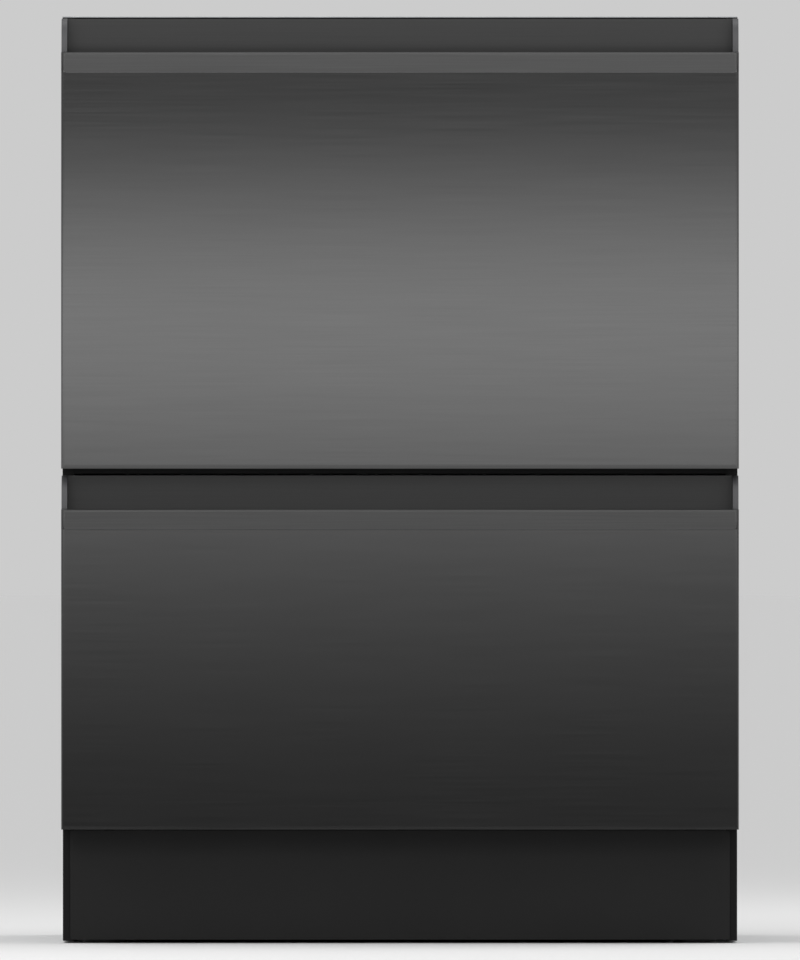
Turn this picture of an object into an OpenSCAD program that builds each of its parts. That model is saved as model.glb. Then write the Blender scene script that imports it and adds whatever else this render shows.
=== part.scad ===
// Built-under double drawer dishwasher: two drawers on slides in one sheet-metal chassis.
// Millimetres. X is the width, Y runs from the fronts (-) to the back (+), Z is up.
// The origin is on the floor, under the middle of the overall box.

/* [Overall] */
// Width across the drawer fronts
overall_w = 599; // [560:1:620]
// Depth from the lip of the handle to the back panel
overall_d = 573; // [565:1:600]
// Height from the floor to the top sheet, feet wound in
overall_h = 820; // [812:1:850]

/* [Drawer fronts] */
// Height of the upper front, recess included
upper_front_h = 398; // [390:1:420]
// Height of the toe space under the lower front, which takes what is left
toe_h = 101; // [95:1:125]
// Gap between the two fronts
front_gap = 6; // [5:0.5:8]
// Gap between the upper front and the top sheet
top_gap = 1; // [1:0.5:3]
// Sheet thickness of the front skins
skin_t = 1; // [0.8:0.1:1.2]
// Outer bend radius along the upright edges of a skin
skin_r = 4; // [2:0.5:6]

/* [Handle] */
// Height of the leaning lip at the top of a skin
lip_h = 18; // [14:1:24]
// Thickness of the folded lip
lip_t = 4; // [3.6:0.2:4.6]
// How far the lip stands in front of the skin's face
lip_proud = 2; // [1:0.5:3]
// Height of the set-back strip above the lip
strip_h = 30; // [26:1:36]
// Depth of the set-back strip behind the skin's face
recess_depth = 25; // [24:0.5:28]
// Depth of the finger trough below the lip's top
trough_depth = 34; // [31:1:44]

/* [Chassis] */
// Sheet thickness of the chassis
sheet_t = 1; // [0.8:0.1:1.2]
// How much narrower each side of the chassis is than the fronts
chassis_inset = 1; // [0.5:0.5:2]
// Width of the flanges along the chassis mouth
flange_w = 10; // [8:0.5:11]
// Height of the frame between the drawers
brace_h = 6; // [4:0.5:6]
// How far the toe space lies behind the skin's face
toe_recess = 58; // [50:1:62]
// Height of the base pan's floor
pan_z = 22; // [20:1:26]
// Travel of the levelling feet
foot_travel = 60; // [30:1:64]

/* [Drawers] */
// Travel of each drawer
drawer_travel = 510; // [450:1:520]
// How much narrower each side of a tub is than the fronts
tub_inset = 31.5; // [30.5:0.5:38]
// Wall thickness of the tub
tub_wall = 3; // [2.5:0.1:4]
// Depth of the tub's outer stiffening ribs
rib_depth = 5; // [3:0.5:5]
// Height of the wash pump under the tub
pump_h = 46; // [44:1:52]
// Thickness of the lid
lid_t = 24; // [18:1:25]
// Travel of the lid when it closes
lid_lift = 7; // [5:0.5:8]

/* [Racks] */
// Thickness of the rack's wires
wire_d = 4; // [3:0.2:5]
// Height of the rack's sides
rack_h = 95; // [90:1:105]
// Height of the plate tines
tine_h = 60; // [45:1:66]
// Reach of the folding cup racks
cup_reach = 80; // [60:1:82]

/* [Hidden] */
LOWER = 0;
UPPER = 1;
$fn = 48;
fit = 0.3;            // gap between neighbouring pieces
slide_fit = 0.6;      // gap inside the telescopic slides
pivot_fit = 0.06;     // radial clearance of a pin in its bore
eps = 0.5;            // cutters stand this far past the face that they open

// ---- levels along Z ----
top_sheet_z = overall_h - sheet_t;
lower_front_h = top_sheet_z - top_gap - upper_front_h - front_gap - toe_h;
function front_h(level) = level == UPPER ? upper_front_h : lower_front_h;
function front_top(level) = level == UPPER ? top_sheet_z - top_gap
                                           : top_sheet_z - top_gap - upper_front_h - front_gap;
function front_bottom(level) = front_top(level) - front_h(level);
function lip_top(level) = front_top(level) - strip_h;
toe_top = front_bottom(LOWER);
brace_z = front_top(LOWER) + front_gap / 4;
function bay_top(level) = level == UPPER ? top_sheet_z : brace_z;
seal_proud = 4;
lid_clear = 2;
function lid_top(level) = bay_top(level) - lid_clear;
function rim(level) = lid_top(level) - lid_t - seal_proud - lid_lift - fit;
under_clear = 3.2;
function pump_bottom(level) = level == UPPER ? brace_z + brace_h + 1.5 : toe_top + under_clear;
function tub_floor(level) = pump_bottom(level) + pump_h;
function rail_z(level) = tub_floor(level) + 60;
// Height at a share of the tub's depth
function tub_share(level, share) = tub_floor(level) + share * (rim(level) - tub_floor(level));

// ---- places along X ----
half_w = overall_w / 2;
shell_x = half_w - chassis_inset;
mouth_x = shell_x - flange_w;
wall_x = shell_x - sheet_t - fit;        // reach of what stands against the chassis wall
tub_x = half_w - tub_inset;
tub_w = 2 * tub_x;
tub_side = tub_x + rib_depth;

// ---- places along Y ----
y_lip = -overall_d / 2;
y_face = y_lip + lip_proud;
y_strip = y_face + recess_depth;
seal_gap = 3;
y_liner = y_strip + skin_t + 0.5;        // back face of the drawer front
y_mouth = y_liner + seal_gap;            // front plane of the chassis
y_back = overall_d / 2;
y_return = y_liner - 4;                  // end of the skin's side returns
deck_d = 25;
y_deck = y_liner + deck_d;
y_tub = y_deck + 7;                      // front wall of the tub
tub_back_gap = 42.5;
y_tub_back = y_back - tub_back_gap;
tub_d = y_tub_back - y_tub;
y_mid = (y_tub + y_tub_back) / 2;        // middle of the tub, axis of the spray arm
y_toe = y_face + toe_recess;

// ---- handle ----
lean = atan(lip_proud / (lip_h - lip_t / 2));
lean_n = [cos(lean), sin(lean)];         // from the lip's face into the sheet
lean_u = [-sin(lean), cos(lean)];        // up along the lip
hem_len = lip_h - lip_t;
function lip_centre(level) = [y_lip + lip_t / 2, lip_top(level) - lip_t / 2];
function crease_z(level) = let (p = lip_centre(level) - lip_t / 2 * lean_n)
  p[1] - (y_face - p[0]) / tan(lean);
cap_x = half_w - skin_t - 0.1;           // outer face of an end cap inside the skin
cap_t = 4.4;
strip_x = cap_x - cap_t;                 // half length of the recess strip
top_r = 4;                               // bend at the top of the strip
strip_flange = 9;                        // flange behind that bend
y_trough = y_face + lip_t + fit;         // front face of the trough's front leg

// ---- slides ----
rail_t = 1.2;
rail_outer_x = tub_side + 14.2;          // outer face of the fixed member
rail_h = 46;
rail_lip = 7;
inner_web_x = tub_side + 2.5;
rail_y0 = y_mouth + 5;
rail_len = drawer_travel - 10;
mid_len = rail_len - 50;
inner_len = rail_len - 10;
rail_step = rail_t + slide_fit;          // from one member of a slide to the next

// ---- wash system ----
sump_r = 80;
floor_rise = 12;
cone_r = 330;
hub_r = 9;
arm_len = 218;
arm_z = 16;
arm_h = 12;

// ---- rack ----
rack_z = 42;                             // rack floor over the tub's floor
rack_side_gap = 20;
rack_x = tub_x - tub_wall - rack_side_gap;
rack_y0 = y_tub + tub_wall + 36;
rack_y1 = y_tub_back - tub_wall - 14;
rack_bend = 14;
rim_wire_d = 6;
rim_corner_r = 30;
rim_z = rack_h + rim_wire_d / 2 - 1;     // centre of the rim wire over the rack's floor
cup_axis_z = rack_h - 14;                // over the rack's floor
cup_axis_x = rack_x - 12;
cup_wire_d = 5;
cup_y0 = rack_y0 + 70;
cup_y1 = rack_y1 - 50;
clip_ys = [cup_y0 + 30, cup_y1 - 30];
clip_w = 12;
clip_r = 7;                              // from the pivot to the clip's outside

// ======== shapes that repeat ========

// Box between two corners, given as ranges along X, Y and Z
module block(x, y, z) {
  translate([x[0], y[0], z[0]]) cube([x[1] - x[0], y[1] - y[0], z[1] - z[0]]);
}

// A profile drawn in (y, z), run from x0 to x1
module run_x(x0, x1) {
  translate([x0, 0, 0]) rotate([90, 0, 90]) linear_extrude(x1 - x0) children();
}

// A profile drawn in (x, z), run from y0 to y1
module run_y(y0, y1) {
  translate([0, y1, 0]) rotate([90, 0, 0]) linear_extrude(y1 - y0) children();
}

// A plan drawn in (x, y), run from z0 to z1
module run_z(z0, z1) {
  translate([0, 0, z0]) linear_extrude(z1 - z0) children();
}

module both_sides() {
  children();
  mirror([1, 0, 0]) children();
}

// Rectangle with round corners, centred
module rounded(w, d, r) {
  square([w - 2 * r, d], center = true);
  square([w, d - 2 * r], center = true);
  for (sx = [-1, 1], sy = [-1, 1]) translate([sx * (w / 2 - r), sy * (d / 2 - r)]) circle(r);
}

// Flat slot with round ends, long along X, centred
module capsule(l, w) {
  square([l - w, w], center = true);
  for (s = [-1, 1]) translate([s * (l - w) / 2, 0]) circle(w / 2);
}

// Points of an arc about c
function arc(c, r, a0, a1, n = 6) =
  [for (i = [0 : n]) c + r * [cos(a0 + (a1 - a0) * i / n), sin(a0 + (a1 - a0) * i / n)]];

function unit(v) = v / norm(v);
function left_of(v) = [-v[1], v[0]];

// The path moved sideways by d, with mitred corners
function beside(path, d) = [for (i = [0 : len(path) - 1])
  let (n0 = left_of(unit(path[max(i, 1)] - path[max(i, 1) - 1])),
       n1 = left_of(unit(path[min(i + 1, len(path) - 1)] - path[min(i + 1, len(path) - 1) - 1])))
  path[i] + d * (n0 + n1) / (1 + n0 * n1)];

// n values from lo to hi, evenly apart
function spread(lo, hi, n) = [for (i = [0 : n - 1]) lo + (hi - lo) * i / (n - 1)];
function reversed(list) = [for (i = [len(list) - 1 : -1 : 0]) list[i]];

// Folded sheet of thickness t along a path
module folded(path, t) {
  polygon(concat(beside(path, t / 2), reversed(beside(path, -t / 2))));
}

// Straight wire from a to b along one axis, eight-sided, flats facing the axes
module wire(a, b, d = wire_d) {
  v = b - a;
  translate(a)
    rotate(v[0] != 0 ? [0, 90, 0] : v[1] != 0 ? [-90, 0, 0] : [0, 0, 0])
      rotate([0, 0, 22.5]) cylinder(h = norm(v), d = d / cos(22.5), $fn = 8);
}

// Eight-sided wire bent through an angle, in the XY plane about the origin
module bend(r, angle, d = wire_d) {
  rotate_extrude(angle = angle) translate([r, 0]) rotate(22.5) circle(d = d / cos(22.5), $fn = 8);
}

// ======== drawer front ========

// What a round upright edge of radius r takes off the corner at (x, y); the arc meets both
// faces at a slight angle, so that the edge stays crisp
module corner_cut(x, y, r) {
  bite = 0.05;
  difference() {
    translate([x - r + bite, y - 2]) square([r + 2, r + 2 - bite]);
    translate([x - r + bite, y + r - bite]) circle(r);
  }
}

// Cutters along both upright edges, leaning forwards with the lip
module skin_edges(level) {
  z = crease_z(level);
  both_sides() {
    run_z(front_bottom(level) - 1, z + skin_r * sin(lean)) corner_cut(half_w, y_face, skin_r);
    translate([0, y_face, z]) rotate([lean, 0, 0]) translate([0, -y_face, 0])
      run_z(0, lip_h + 10) corner_cut(half_w, y_face, skin_r);
  }
}

function hem_end(level) = lip_centre(level) + lip_t / 2 * lean_n - hem_len * lean_u;

// Side view of the skin's outside: bottom return, face, leaning lip, hem
function skin_outer(level) = let (c = lip_centre(level), b = front_bottom(level), h = hem_end(level)) concat(
  [[y_return, b]],
  arc([y_face + skin_r, b + skin_r], skin_r, 270, 180),
  [[y_face, crease_z(level)]],
  arc(c, lip_t / 2, 180 + lean, lean, 10),
  [h, [y_return, h[1]]]);

// Side view of the hollow behind the face, up to the crease
function face_inner(level) = let (b = front_bottom(level)) concat(
  [[y_return + eps, b + skin_t]],
  arc([y_face + skin_r, b + skin_r], skin_r - skin_t, 270, 180),
  [[y_face + skin_t, crease_z(level)]]);

// The same hollow with the slot inside the folded lip
function skin_inner(level) = let (h = hem_end(level)) concat(
  face_inner(level),
  arc(lip_centre(level), lip_t / 2 - skin_t, 180 + lean, lean, 8),
  [h - skin_t * lean_n, h, [h[0], h[1] + eps], [y_return + eps, h[1] + eps]]);

// Folded steel skin with closed side returns and a hemmed, leaning lip
module front_panel(level) {
  inner_x = half_w - skin_t;
  core_x = half_w - skin_r;
  color("#5a5a5c") difference() {
    run_x(-half_w, half_w) polygon(skin_outer(level));
    skin_edges(level);
    run_x(-core_x, core_x) polygon(skin_inner(level));
    difference() {
      run_x(-inner_x, inner_x) polygon(concat(face_inner(level), [[y_return + eps, crease_z(level)]]));
      both_sides() run_z(front_bottom(level) - 1, crease_z(level) + 1)
        corner_cut(inner_x, y_face + skin_t, skin_r - skin_t);
    }
    // room behind the lip for the end caps
    block([-inner_x, inner_x], [y_trough - fit / 2, y_return + eps],
          [crease_z(level) - 1, hem_end(level)[1] + eps]);
  }
}

// J-shaped sheet behind the lip: front leg, round trough, upright strip, top flange
function recess_path(level) = let (
    c = lip_centre(level),
    y1 = y_trough + skin_t / 2,
    y2 = y_strip + skin_t / 2,
    r = (y2 - y1) / 2,
    rt = top_r - skin_t / 2,
    zt = front_top(level) - skin_t / 2,
    bottom = lip_top(level) - trough_depth) concat(
  [c + (lip_t / 2 + fit + skin_t / 2) * lean_n - 2 * lean_u, [y1, crease_z(level)]],
  arc([(y1 + y2) / 2, bottom - skin_t / 2 + r], r, 180, 360, 12),
  arc([y2 + rt, zt - rt], rt, 180, 90),
  [[y2 + strip_flange, zt]]);

module handle_recess(level) {
  color("#626264") difference() {
    run_x(-strip_x + fit / 3, strip_x - fit / 3) folded(recess_path(level), skin_t);
    // the flange enters the chassis mouth between its side flanges
    both_sides() block([mouth_x - 1, strip_x], [y_liner + 0.5, y_deck],
                       [front_top(level) - skin_t - eps, front_top(level) + eps]);
  }
}

function trough_bottom(level) = lip_top(level) - trough_depth - skin_t;

// Moulded caps that close both ends of the recess
module handle_end_caps(level) {
  y1 = y_liner - fit;
  low = trough_bottom(level) - 2;
  seat = hem_end(level)[1] + fit;
  top = front_top(level);
  sweep_y = 17;
  sweep_z = strip_h - 2;
  start = lip_centre(level) + (lip_t / 2 + fit) * lean_n;
  color("#3c3c3e") both_sides() {
    run_x(strip_x, cap_x) polygon([
      [y_trough, low], [y1, low], [y1, seat + 1], [y_trough, seat + 1]]);
    run_x(strip_x, half_w - fit) polygon(concat(
      [[y_trough, seat], [y1, seat], [y1, top]],
      [for (a = [90 : 10 : 180])
        [start[0] + sweep_y * (1 + cos(a)), top - sweep_z * (1 - sin(a))]],
      [start]));
  }
}

// Moulded box behind the skin: a rim that carries the skin and a hollow that enters the chassis
module front_liner(level) {
  wall = 2.5;
  back_plate = 3.7;
  xs = spread(-0.3 * overall_w, 0.3 * overall_w, 4);
  top = trough_bottom(level) - 2 - fit;
  body_top = rim(level) - fit;
  z0 = front_bottom(level);
  body_z = z0 + under_clear;
  color("#2c2d2f") {
    difference() {
      union() {
        block([-cap_x, cap_x], [y_liner - back_plate, y_liner], [z0, top]);
        block([-tub_side, tub_side], [y_liner - eps, y_deck], [body_z, body_top]);
      }
      block([-tub_side + wall, tub_side - wall], [y_liner - back_plate - eps, y_deck - wall],
            [body_z + wall, top - wall * 2]);
      block([-tub_side + wall, tub_side - wall], [y_liner + wall, y_deck - wall],
            [body_z + wall, body_top - wall]);
    }
    // upright stiffeners and the bosses that the tub is screwed to
    for (x = xs)
      block([x - 1, x + 1], [y_liner - 1, y_deck - wall + eps], [body_z + 1, top - wall * 2 - 1]);
    for (x = xs, share = [0.2, 0.87])
      translate([x, y_deck - eps, tub_share(level, share)]) rotate([-90, 0, 0])
        cylinder(h = y_tub - y_deck - fit + eps, r = 8);
  }
}

button_y = y_deck - 9;
button_r = 5.5;
button_xs = [-60, 0, 60];
window_x = 120;
deck_wall = 2;
button_proud = 0.8;
button_edge = 0.6;
deck_drop = 2;         // top of the deck under the top of the front

// Top of the drawer front: carries the buttons and the display window
module control_deck(level) {
  z0 = rim(level);
  z1 = front_top(level) - deck_drop;
  y0 = y_liner + fit;
  color("#1f2022") difference() {
    block([-tub_side, tub_side], [y0, y_deck], [z0, z1]);
    block([-tub_side + deck_wall, tub_side - deck_wall], [y0 + deck_wall, y_deck - deck_wall],
          [z0 - eps, z1 - deck_wall]);
    for (x = button_xs) translate([x, button_y, z1 - deck_wall - eps])
      cylinder(h = deck_wall + 2 * eps, r = button_r + fit);
    // shallow window for the status lights
    translate([window_x, button_y, z1 - 0.6]) linear_extrude(1 + eps) capsule(70, 10);
  }
}

// Push button with a collar that keeps it under the deck
module button(level, x) {
  collar = 1.2;
  stem = 3;
  top = front_top(level) - deck_drop + button_proud;
  low = front_top(level) - deck_drop - deck_wall - fit - collar;
  color("#8d8f92") translate([x, button_y, 0]) {
    translate([0, 0, low]) cylinder(h = top - button_edge - low, r = button_r);
    translate([0, 0, top - button_edge])
      cylinder(h = button_edge, r1 = button_r, r2 = button_r - button_edge);
    translate([0, 0, low]) cylinder(h = collar, r = button_r + collar);
    translate([0, 0, low - stem]) cylinder(h = stem + 0.2, r = 2);
  }
}

// ======== tub ========

tub_corner = 45;
rim_w = 6;
rim_t = 3;

module tub_plan(grow) {
  translate([0, y_mid]) rounded(tub_w + 2 * grow, tub_d + 2 * grow, tub_corner + grow);
}

// Inside of the tub: straight walls over a floor that falls to the sump
module tub_room(z, grow, top) {
  run_z(z + floor_rise, top) tub_plan(grow);
  intersection() {
    run_z(z, z + floor_rise + 0.01) tub_plan(grow);
    translate([0, y_mid, z]) cylinder(h = floor_rise + 0.01, r1 = sump_r + 15, r2 = cone_r, $fn = 96);
  }
}

module tub(level) {
  z = tub_floor(level);
  top = rim(level);
  rib = 2.4;
  pad_r = 9;
  color("#b9bbbd") {
    difference() {
      union() {
        tub_room(z, 0, top);
        run_z(top - rim_t, top) tub_plan(rim_w);
        // stiffening bands and upright ribs
        for (h = [0.42, 0.72]) run_z(tub_share(level, h), tub_share(level, h) + rib) tub_plan(rib_depth - 1);
        for (y = spread(y_mid - 0.32 * tub_d, y_mid + 0.32 * tub_d, 5))
          block([-tub_side, tub_side], [y - rib / 2, y + rib / 2], [rail_z(level) + 25, top - rim_t]);
        for (x = spread(-0.3 * overall_w, 0.3 * overall_w, 6))
          block([x - rib / 2, x + rib / 2], [y_tub + 10, y_tub_back + rib_depth - 1], [z + 30, top - rim_t]);
        // bosses that the slides are screwed to
        both_sides() for (y = spread(y_mid - 0.36 * tub_d, y_mid + 0.36 * tub_d, 3))
          translate([tub_x - eps, y, rail_z(level)]) rotate([0, 90, 0])
            cylinder(h = inner_web_x - fit - tub_x + eps, r = pad_r);
      }
      tub_room(z + tub_wall, -tub_wall, top + eps);
      translate([0, y_mid, z - eps]) cylinder(h = tub_wall + floor_rise, r = sump_r);
    }
  }
}

// ======== slides ========

// Channel along Y: web at x, flanges pointing to the middle of the machine, reach long
module channel(x, h, reach, y0, len) {
  run_y(y0, y0 + len) {
    translate([x - rail_t, -h / 2]) square([rail_t, h]);
    for (s = [-1, 1]) translate([x - reach, s * (h - rail_t) / 2 - rail_t / 2]) square([reach, rail_t]);
  }
}

module outer_rails() {
  foot_t = 1.5;
  foot_size = [52, 30];
  hat_size = [28, 22];
  color("#9a9da0") for (level = [LOWER, UPPER]) both_sides() translate([0, 0, rail_z(level)]) {
    channel(rail_outer_x, rail_h, rail_lip + rail_t, rail_y0, rail_len);
    // hat brackets to the chassis wall
    for (share = [0.08, 0.5, 0.88]) translate([0, rail_y0 + share * rail_len, 0]) {
      block([wall_x - foot_t, wall_x], foot_size[0] / 2 * [-1, 1], foot_size[1] / 2 * [-1, 1]);
      block([rail_outer_x - 0.2, wall_x - foot_t + 0.2],
            hat_size[0] / 2 * [-1, 1], hat_size[1] / 2 * [-1, 1]);
    }
  }
}

module mid_rails(level) {
  color("#b4b7ba") both_sides() translate([0, 0, rail_z(level)])
    channel(rail_outer_x - rail_step, rail_h - 2 * rail_step, rail_lip, rail_y0 + 10, mid_len);
}

// Inner members: their web lies against the tub and their flanges point outwards
module inner_rails(level) {
  tip = rail_outer_x - 2 * rail_step;
  h = rail_h - 4 * rail_step;
  color("#b4b7ba") both_sides() translate([0, 0, rail_z(level)]) {
    run_y(rail_y0, rail_y0 + inner_len) {
      translate([inner_web_x, -h / 2]) square([rail_t, h]);
      for (s = [-1, 1]) translate([inner_web_x, s * (h - rail_t) / 2 - rail_t / 2])
        square([tip - inner_web_x, rail_t]);
    }
  }
}

// ======== wash system ========

bowl_t = 3;
joiner_r = 9.5;        // outside of every drain hose spigot
filter_x = 48;
filter_r = 24;
filter_t = 2;

// Sump bowl with the motor and the drain pump under the tub
module wash_pump(level) {
  z0 = pump_bottom(level);
  z1 = tub_floor(level) - fit;
  bowl_bottom = z1 - 28;
  motor_r = [60, 66, 72];
  cover_t = 4;
  drain_at = [-106, 0, z0 + 22];
  drain_r = 20;
  drain_len = 70;
  spigot_end = 90;
  arm_bottom = tub_floor(level) + tub_wall + arm_z;
  hub_top = arm_bottom + arm_h + 4;
  color("#3a3b3d") translate([0, y_mid, 0]) {
    difference() {
      union() {
        translate([0, 0, bowl_bottom]) cylinder(h = z1 - bowl_bottom, r = sump_r + 10);
        translate([0, 0, z0 + cover_t])
          cylinder(h = bowl_bottom - z0 - cover_t + eps, r1 = motor_r[1], r2 = motor_r[2]);
        translate([0, 0, z0]) cylinder(h = cover_t + eps, r = motor_r[0]);
        // drain pump on the side of the bowl
        translate(drain_at) rotate([90, 0, 0]) cylinder(h = drain_len, r = drain_r, center = true);
        translate(drain_at) block([0, 36], [-14, 14], [-14, 14]);
        // outlet spigot towards the back
        translate(drain_at) rotate([-90, 0, 0]) cylinder(h = spigot_end, r = joiner_r);
      }
      translate([0, 0, bowl_bottom + bowl_t]) cylinder(h = pump_h, r = sump_r - 2);
      translate(drain_at + [0, drain_len, 0]) rotate([-90, 0, 0]) cylinder(h = drain_len, r = joiner_r - 2.5);
      // cooling slots in the motor's cover
      for (a = [0 : 20 : 340]) rotate([0, 0, a]) block([40, 56], [-1.5, 1.5], [z0 - eps, z0 + 3]);
    }
    // post that carries the spray arm
    translate([0, 0, bowl_bottom]) cylinder(h = hub_top - bowl_bottom - 2, r = hub_r);
    translate([0, 0, hub_top - 2.01]) cylinder(h = 2, r1 = hub_r, r2 = hub_r - 2);
    translate([0, 0, bowl_bottom]) cylinder(h = arm_bottom - fit - bowl_bottom, r = hub_r + 5);
  }
}

// Perforated plate that covers the sump
module filter_plate(level) {
  z = tub_floor(level) + tub_wall + fit;
  cut = filter_t + 2 * eps;
  color("#a8abad") translate([0, y_mid, z]) difference() {
    cylinder(h = filter_t, r = sump_r + 10);
    translate([0, 0, -eps]) {
      cylinder(h = cut, r = hub_r + 6);
      translate([filter_x, 0, 0]) cylinder(h = cut, r = filter_r + fit);
      // two rings of slots, left out round the cup filter
      for (a = [30 : 15 : 330]) rotate([0, 0, a]) translate([64, 0, 0]) linear_extrude(cut) capsule(18, 3);
      for (a = [60 : 30 : 300]) rotate([0, 0, a]) translate([34, 0, 0]) linear_extrude(cut) capsule(20, 3);
    }
  }
}

// Cup filter that turns a quarter to unlock
module drain_filter(level) {
  z = tub_floor(level) + tub_wall;
  deep = 22;
  flange_z = fit + filter_t + fit;
  color("#d7d9da") translate([filter_x, y_mid, z]) {
    difference() {
      union() {
        translate([0, 0, -deep]) cylinder(h = deep + 4, r = filter_r - 1);
        translate([0, 0, flange_z]) cylinder(h = 2, r = filter_r + 3);
      }
      translate([0, 0, -deep + 2]) cylinder(h = deep + 10, r = filter_r - 3);
      for (a = [0 : 30 : 330]) rotate([0, 0, a])
        block([filter_r - 6, filter_r + 1], [-2, 2], [-deep + 5, -4]);
    }
    block([-filter_r + 2, filter_r - 2], [-1.5, 1.5], [0, 9]);
  }
}

// Spray arm: a hub and two swept blades with nozzles
module spray_arm(level) {
  z = tub_floor(level) + tub_wall + arm_z;
  hub_outer = 24;
  tip_r = 14;
  nozzles = [60 : 40 : 180];
  color("#c9cbcd") translate([0, y_mid, z]) difference() {
    union() {
      cylinder(h = arm_h + 3, r = hub_outer);
      for (a = [0, 180]) rotate([0, 0, a]) linear_extrude(arm_h - 3) hull() {
        circle(hub_outer - 2, $fn = 32);
        translate([110, 16]) circle(tip_r + 6, $fn = 32);
        translate([arm_len - tip_r, 6]) circle(tip_r, $fn = 32);
      }
      for (a = [0, 180], r = nozzles) rotate([0, 0, a]) translate([r, 10, arm_h - 3.01])
        cylinder(h = 2, r1 = 6, r2 = 4);
    }
    translate([0, 0, -eps]) cylinder(h = arm_h + 10, r = hub_r + pivot_fit);
    for (a = [0, 180], r = nozzles) rotate([0, 0, a]) translate([r, 10, arm_h - 6])
      cylinder(h = 10, r = 1.6);
    // hollow that feeds the nozzles
    for (a = [0, 180]) rotate([0, 0, a]) translate([0, 0, 2]) linear_extrude(arm_h - 7) hull() {
      translate([32, 6]) circle(10, $fn = 32);
      translate([arm_len - tip_r, 6]) circle(tip_r - 3, $fn = 32);
    }
  }
}

// ======== racks ========

long_n = 9;    // wires from front to back
cross_n = 8;   // wires from side to side

long_xs = spread(-rack_x + 36, rack_x - 36, long_n);
cross_ys = spread(rack_y0 + 36, rack_y1 - 36, cross_n);
rows = [for (i = [1, 3, 5]) (long_xs[i] + long_xs[i + 1]) / 2];
weld = 0.4;    // how far crossing wires sink into each other

// One side of the basket, drawn at x = out: upright wires with a bent foot under a rim wire
module rack_side(out, ys, y0, y1, z0) {
  r = rack_bend;
  ends = [y0 + rim_corner_r, y1 - rim_corner_r];
  inside = out - wire_d + weld;
  belt_z = rack_h * 0.52;
  for (y = ys) translate([out, y, 0]) {
    wire([0, 0, z0 + r], [0, 0, rack_h - weld]);
    translate([-r, 0, z0 + r]) rotate([90, 0, 0]) mirror([0, 1, 0]) bend(r, 90);
  }
  wire([out, ends[0], rim_z], [out, ends[1], rim_z], rim_wire_d);
  wire([inside, ends[0], belt_z], [inside, ends[1], belt_z]);
}

// Row of hairpin tines on a carrier bar whose underside is at z0
module tine_row(x, z0) {
  d = wire_d - 0.6;
  gauge = 10;
  ys = spread(rack_y0 + 92, rack_y1 - 34, 11);
  top_z = tine_h - gauge / 2;
  run_x(x - d / 2, x + d / 2) {
    translate([ys[0] - 12, z0]) square([ys[10] - ys[0] + 24, d]);
    for (y = ys) folded(concat([[y + gauge / 2, z0 + d / 2]], arc([y, top_z], gauge / 2, 0, 180, 8),
                               [[y - gauge / 2, z0 + d / 2]]), d);
  }
}

module dish_rack(level) {
  z = tub_floor(level) + rack_z;
  ymid = (rack_y0 + rack_y1) / 2;
  half_d = (rack_y1 - rack_y0) / 2;
  over = wire_d - weld;
  color("#8e9194") translate([0, 0, z]) {
    // floor grid in two welded layers
    for (x = long_xs) wire([x, rack_y0 + rack_bend + fit, 0], [x, rack_y1 - rack_bend - fit, 0]);
    for (y = cross_ys) wire([-rack_x + rack_bend + fit, y, -over], [rack_x - rack_bend - fit, y, -over]);
    // sides
    both_sides() rack_side(rack_x, cross_ys, rack_y0, rack_y1, -over);
    for (a = [-90, 90]) translate([0, ymid, 0]) rotate([0, 0, a])
      rack_side(half_d, long_xs, -rack_x, rack_x, 0);
    // rim corners
    for (sx = [-1, 1], sy = [-1, 1])
      translate([sx * (rack_x - rim_corner_r), ymid + sy * (half_d - rim_corner_r), rim_z])
        rotate([0, 0, sx > 0 ? (sy > 0 ? 0 : 270) : (sy > 0 ? 90 : 180)]) rotate([0, 0, 0.6])
          bend(rim_corner_r, 88.8, rim_wire_d);
    for (x = rows) tine_row(x, wire_d / 2 - over + fit);
    // clips that hold the cup racks' pivots
    both_sides() for (y = clip_ys)
      difference() {
        block([cup_axis_x - clip_r, rack_x - wire_d / 2 - fit], [y - clip_w / 2, y + clip_w / 2],
              [cup_axis_z - clip_r, cup_axis_z + clip_r]);
        translate([cup_axis_x, y - clip_w, cup_axis_z]) rotate([-90, 0, 0])
          cylinder(h = 2 * clip_w, r = cup_wire_d / 2 + pivot_fit);
      }
    // feet
    for (sx = [-1, 1], y = [rack_y0 + 30, rack_y1 - 30]) let (
        x = sx * (rack_x - 26), far = norm([abs(x) + 6, y - y_mid + sign(y - y_mid) * 6]),
        floor_z = tub_wall + floor_rise * min(1, (far - sump_r - 15) / (cone_r - sump_r - 15)))
      translate([x, y, -rack_z + floor_z + fit])
        cylinder(h = rack_z - floor_z - fit - over - wire_d / 2 - fit, r = 6);
  }
}

// Folding shelf of wire, on a round pivot wire; drawn for the right side
module cup_rack(level) {
  z = tub_floor(level) + rack_z + cup_axis_z;
  inner = cup_axis_x - cup_reach;
  n = 9;
  color("#7f8285") {
    translate([cup_axis_x, cup_y0, z]) rotate([-90, 0, 0]) cylinder(h = cup_y1 - cup_y0, r = cup_wire_d / 2);
    for (y = spread(cup_y0 + 2, cup_y1 - 2, n)) if (min([for (c = clip_ys) abs(y - c)]) > clip_w * 3 / 4)
      wire([inner, y, z], [cup_axis_x, y, z], wire_d - 0.6);
    for (k = [0 : 2]) let (x = inner + k * cup_reach / 3)
      wire([x, cup_y0 + 0.5, z], [x, cup_y1 - 0.5, z], wire_d);
  }
}

basket_w = 150;
basket_d = 66;
basket_h = 104;
basket_t = 2;
pocket_n = 3;
pocket_w = (basket_w - (pocket_n - 1) * fit) / pocket_n;   // outside width of one pocket

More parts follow.
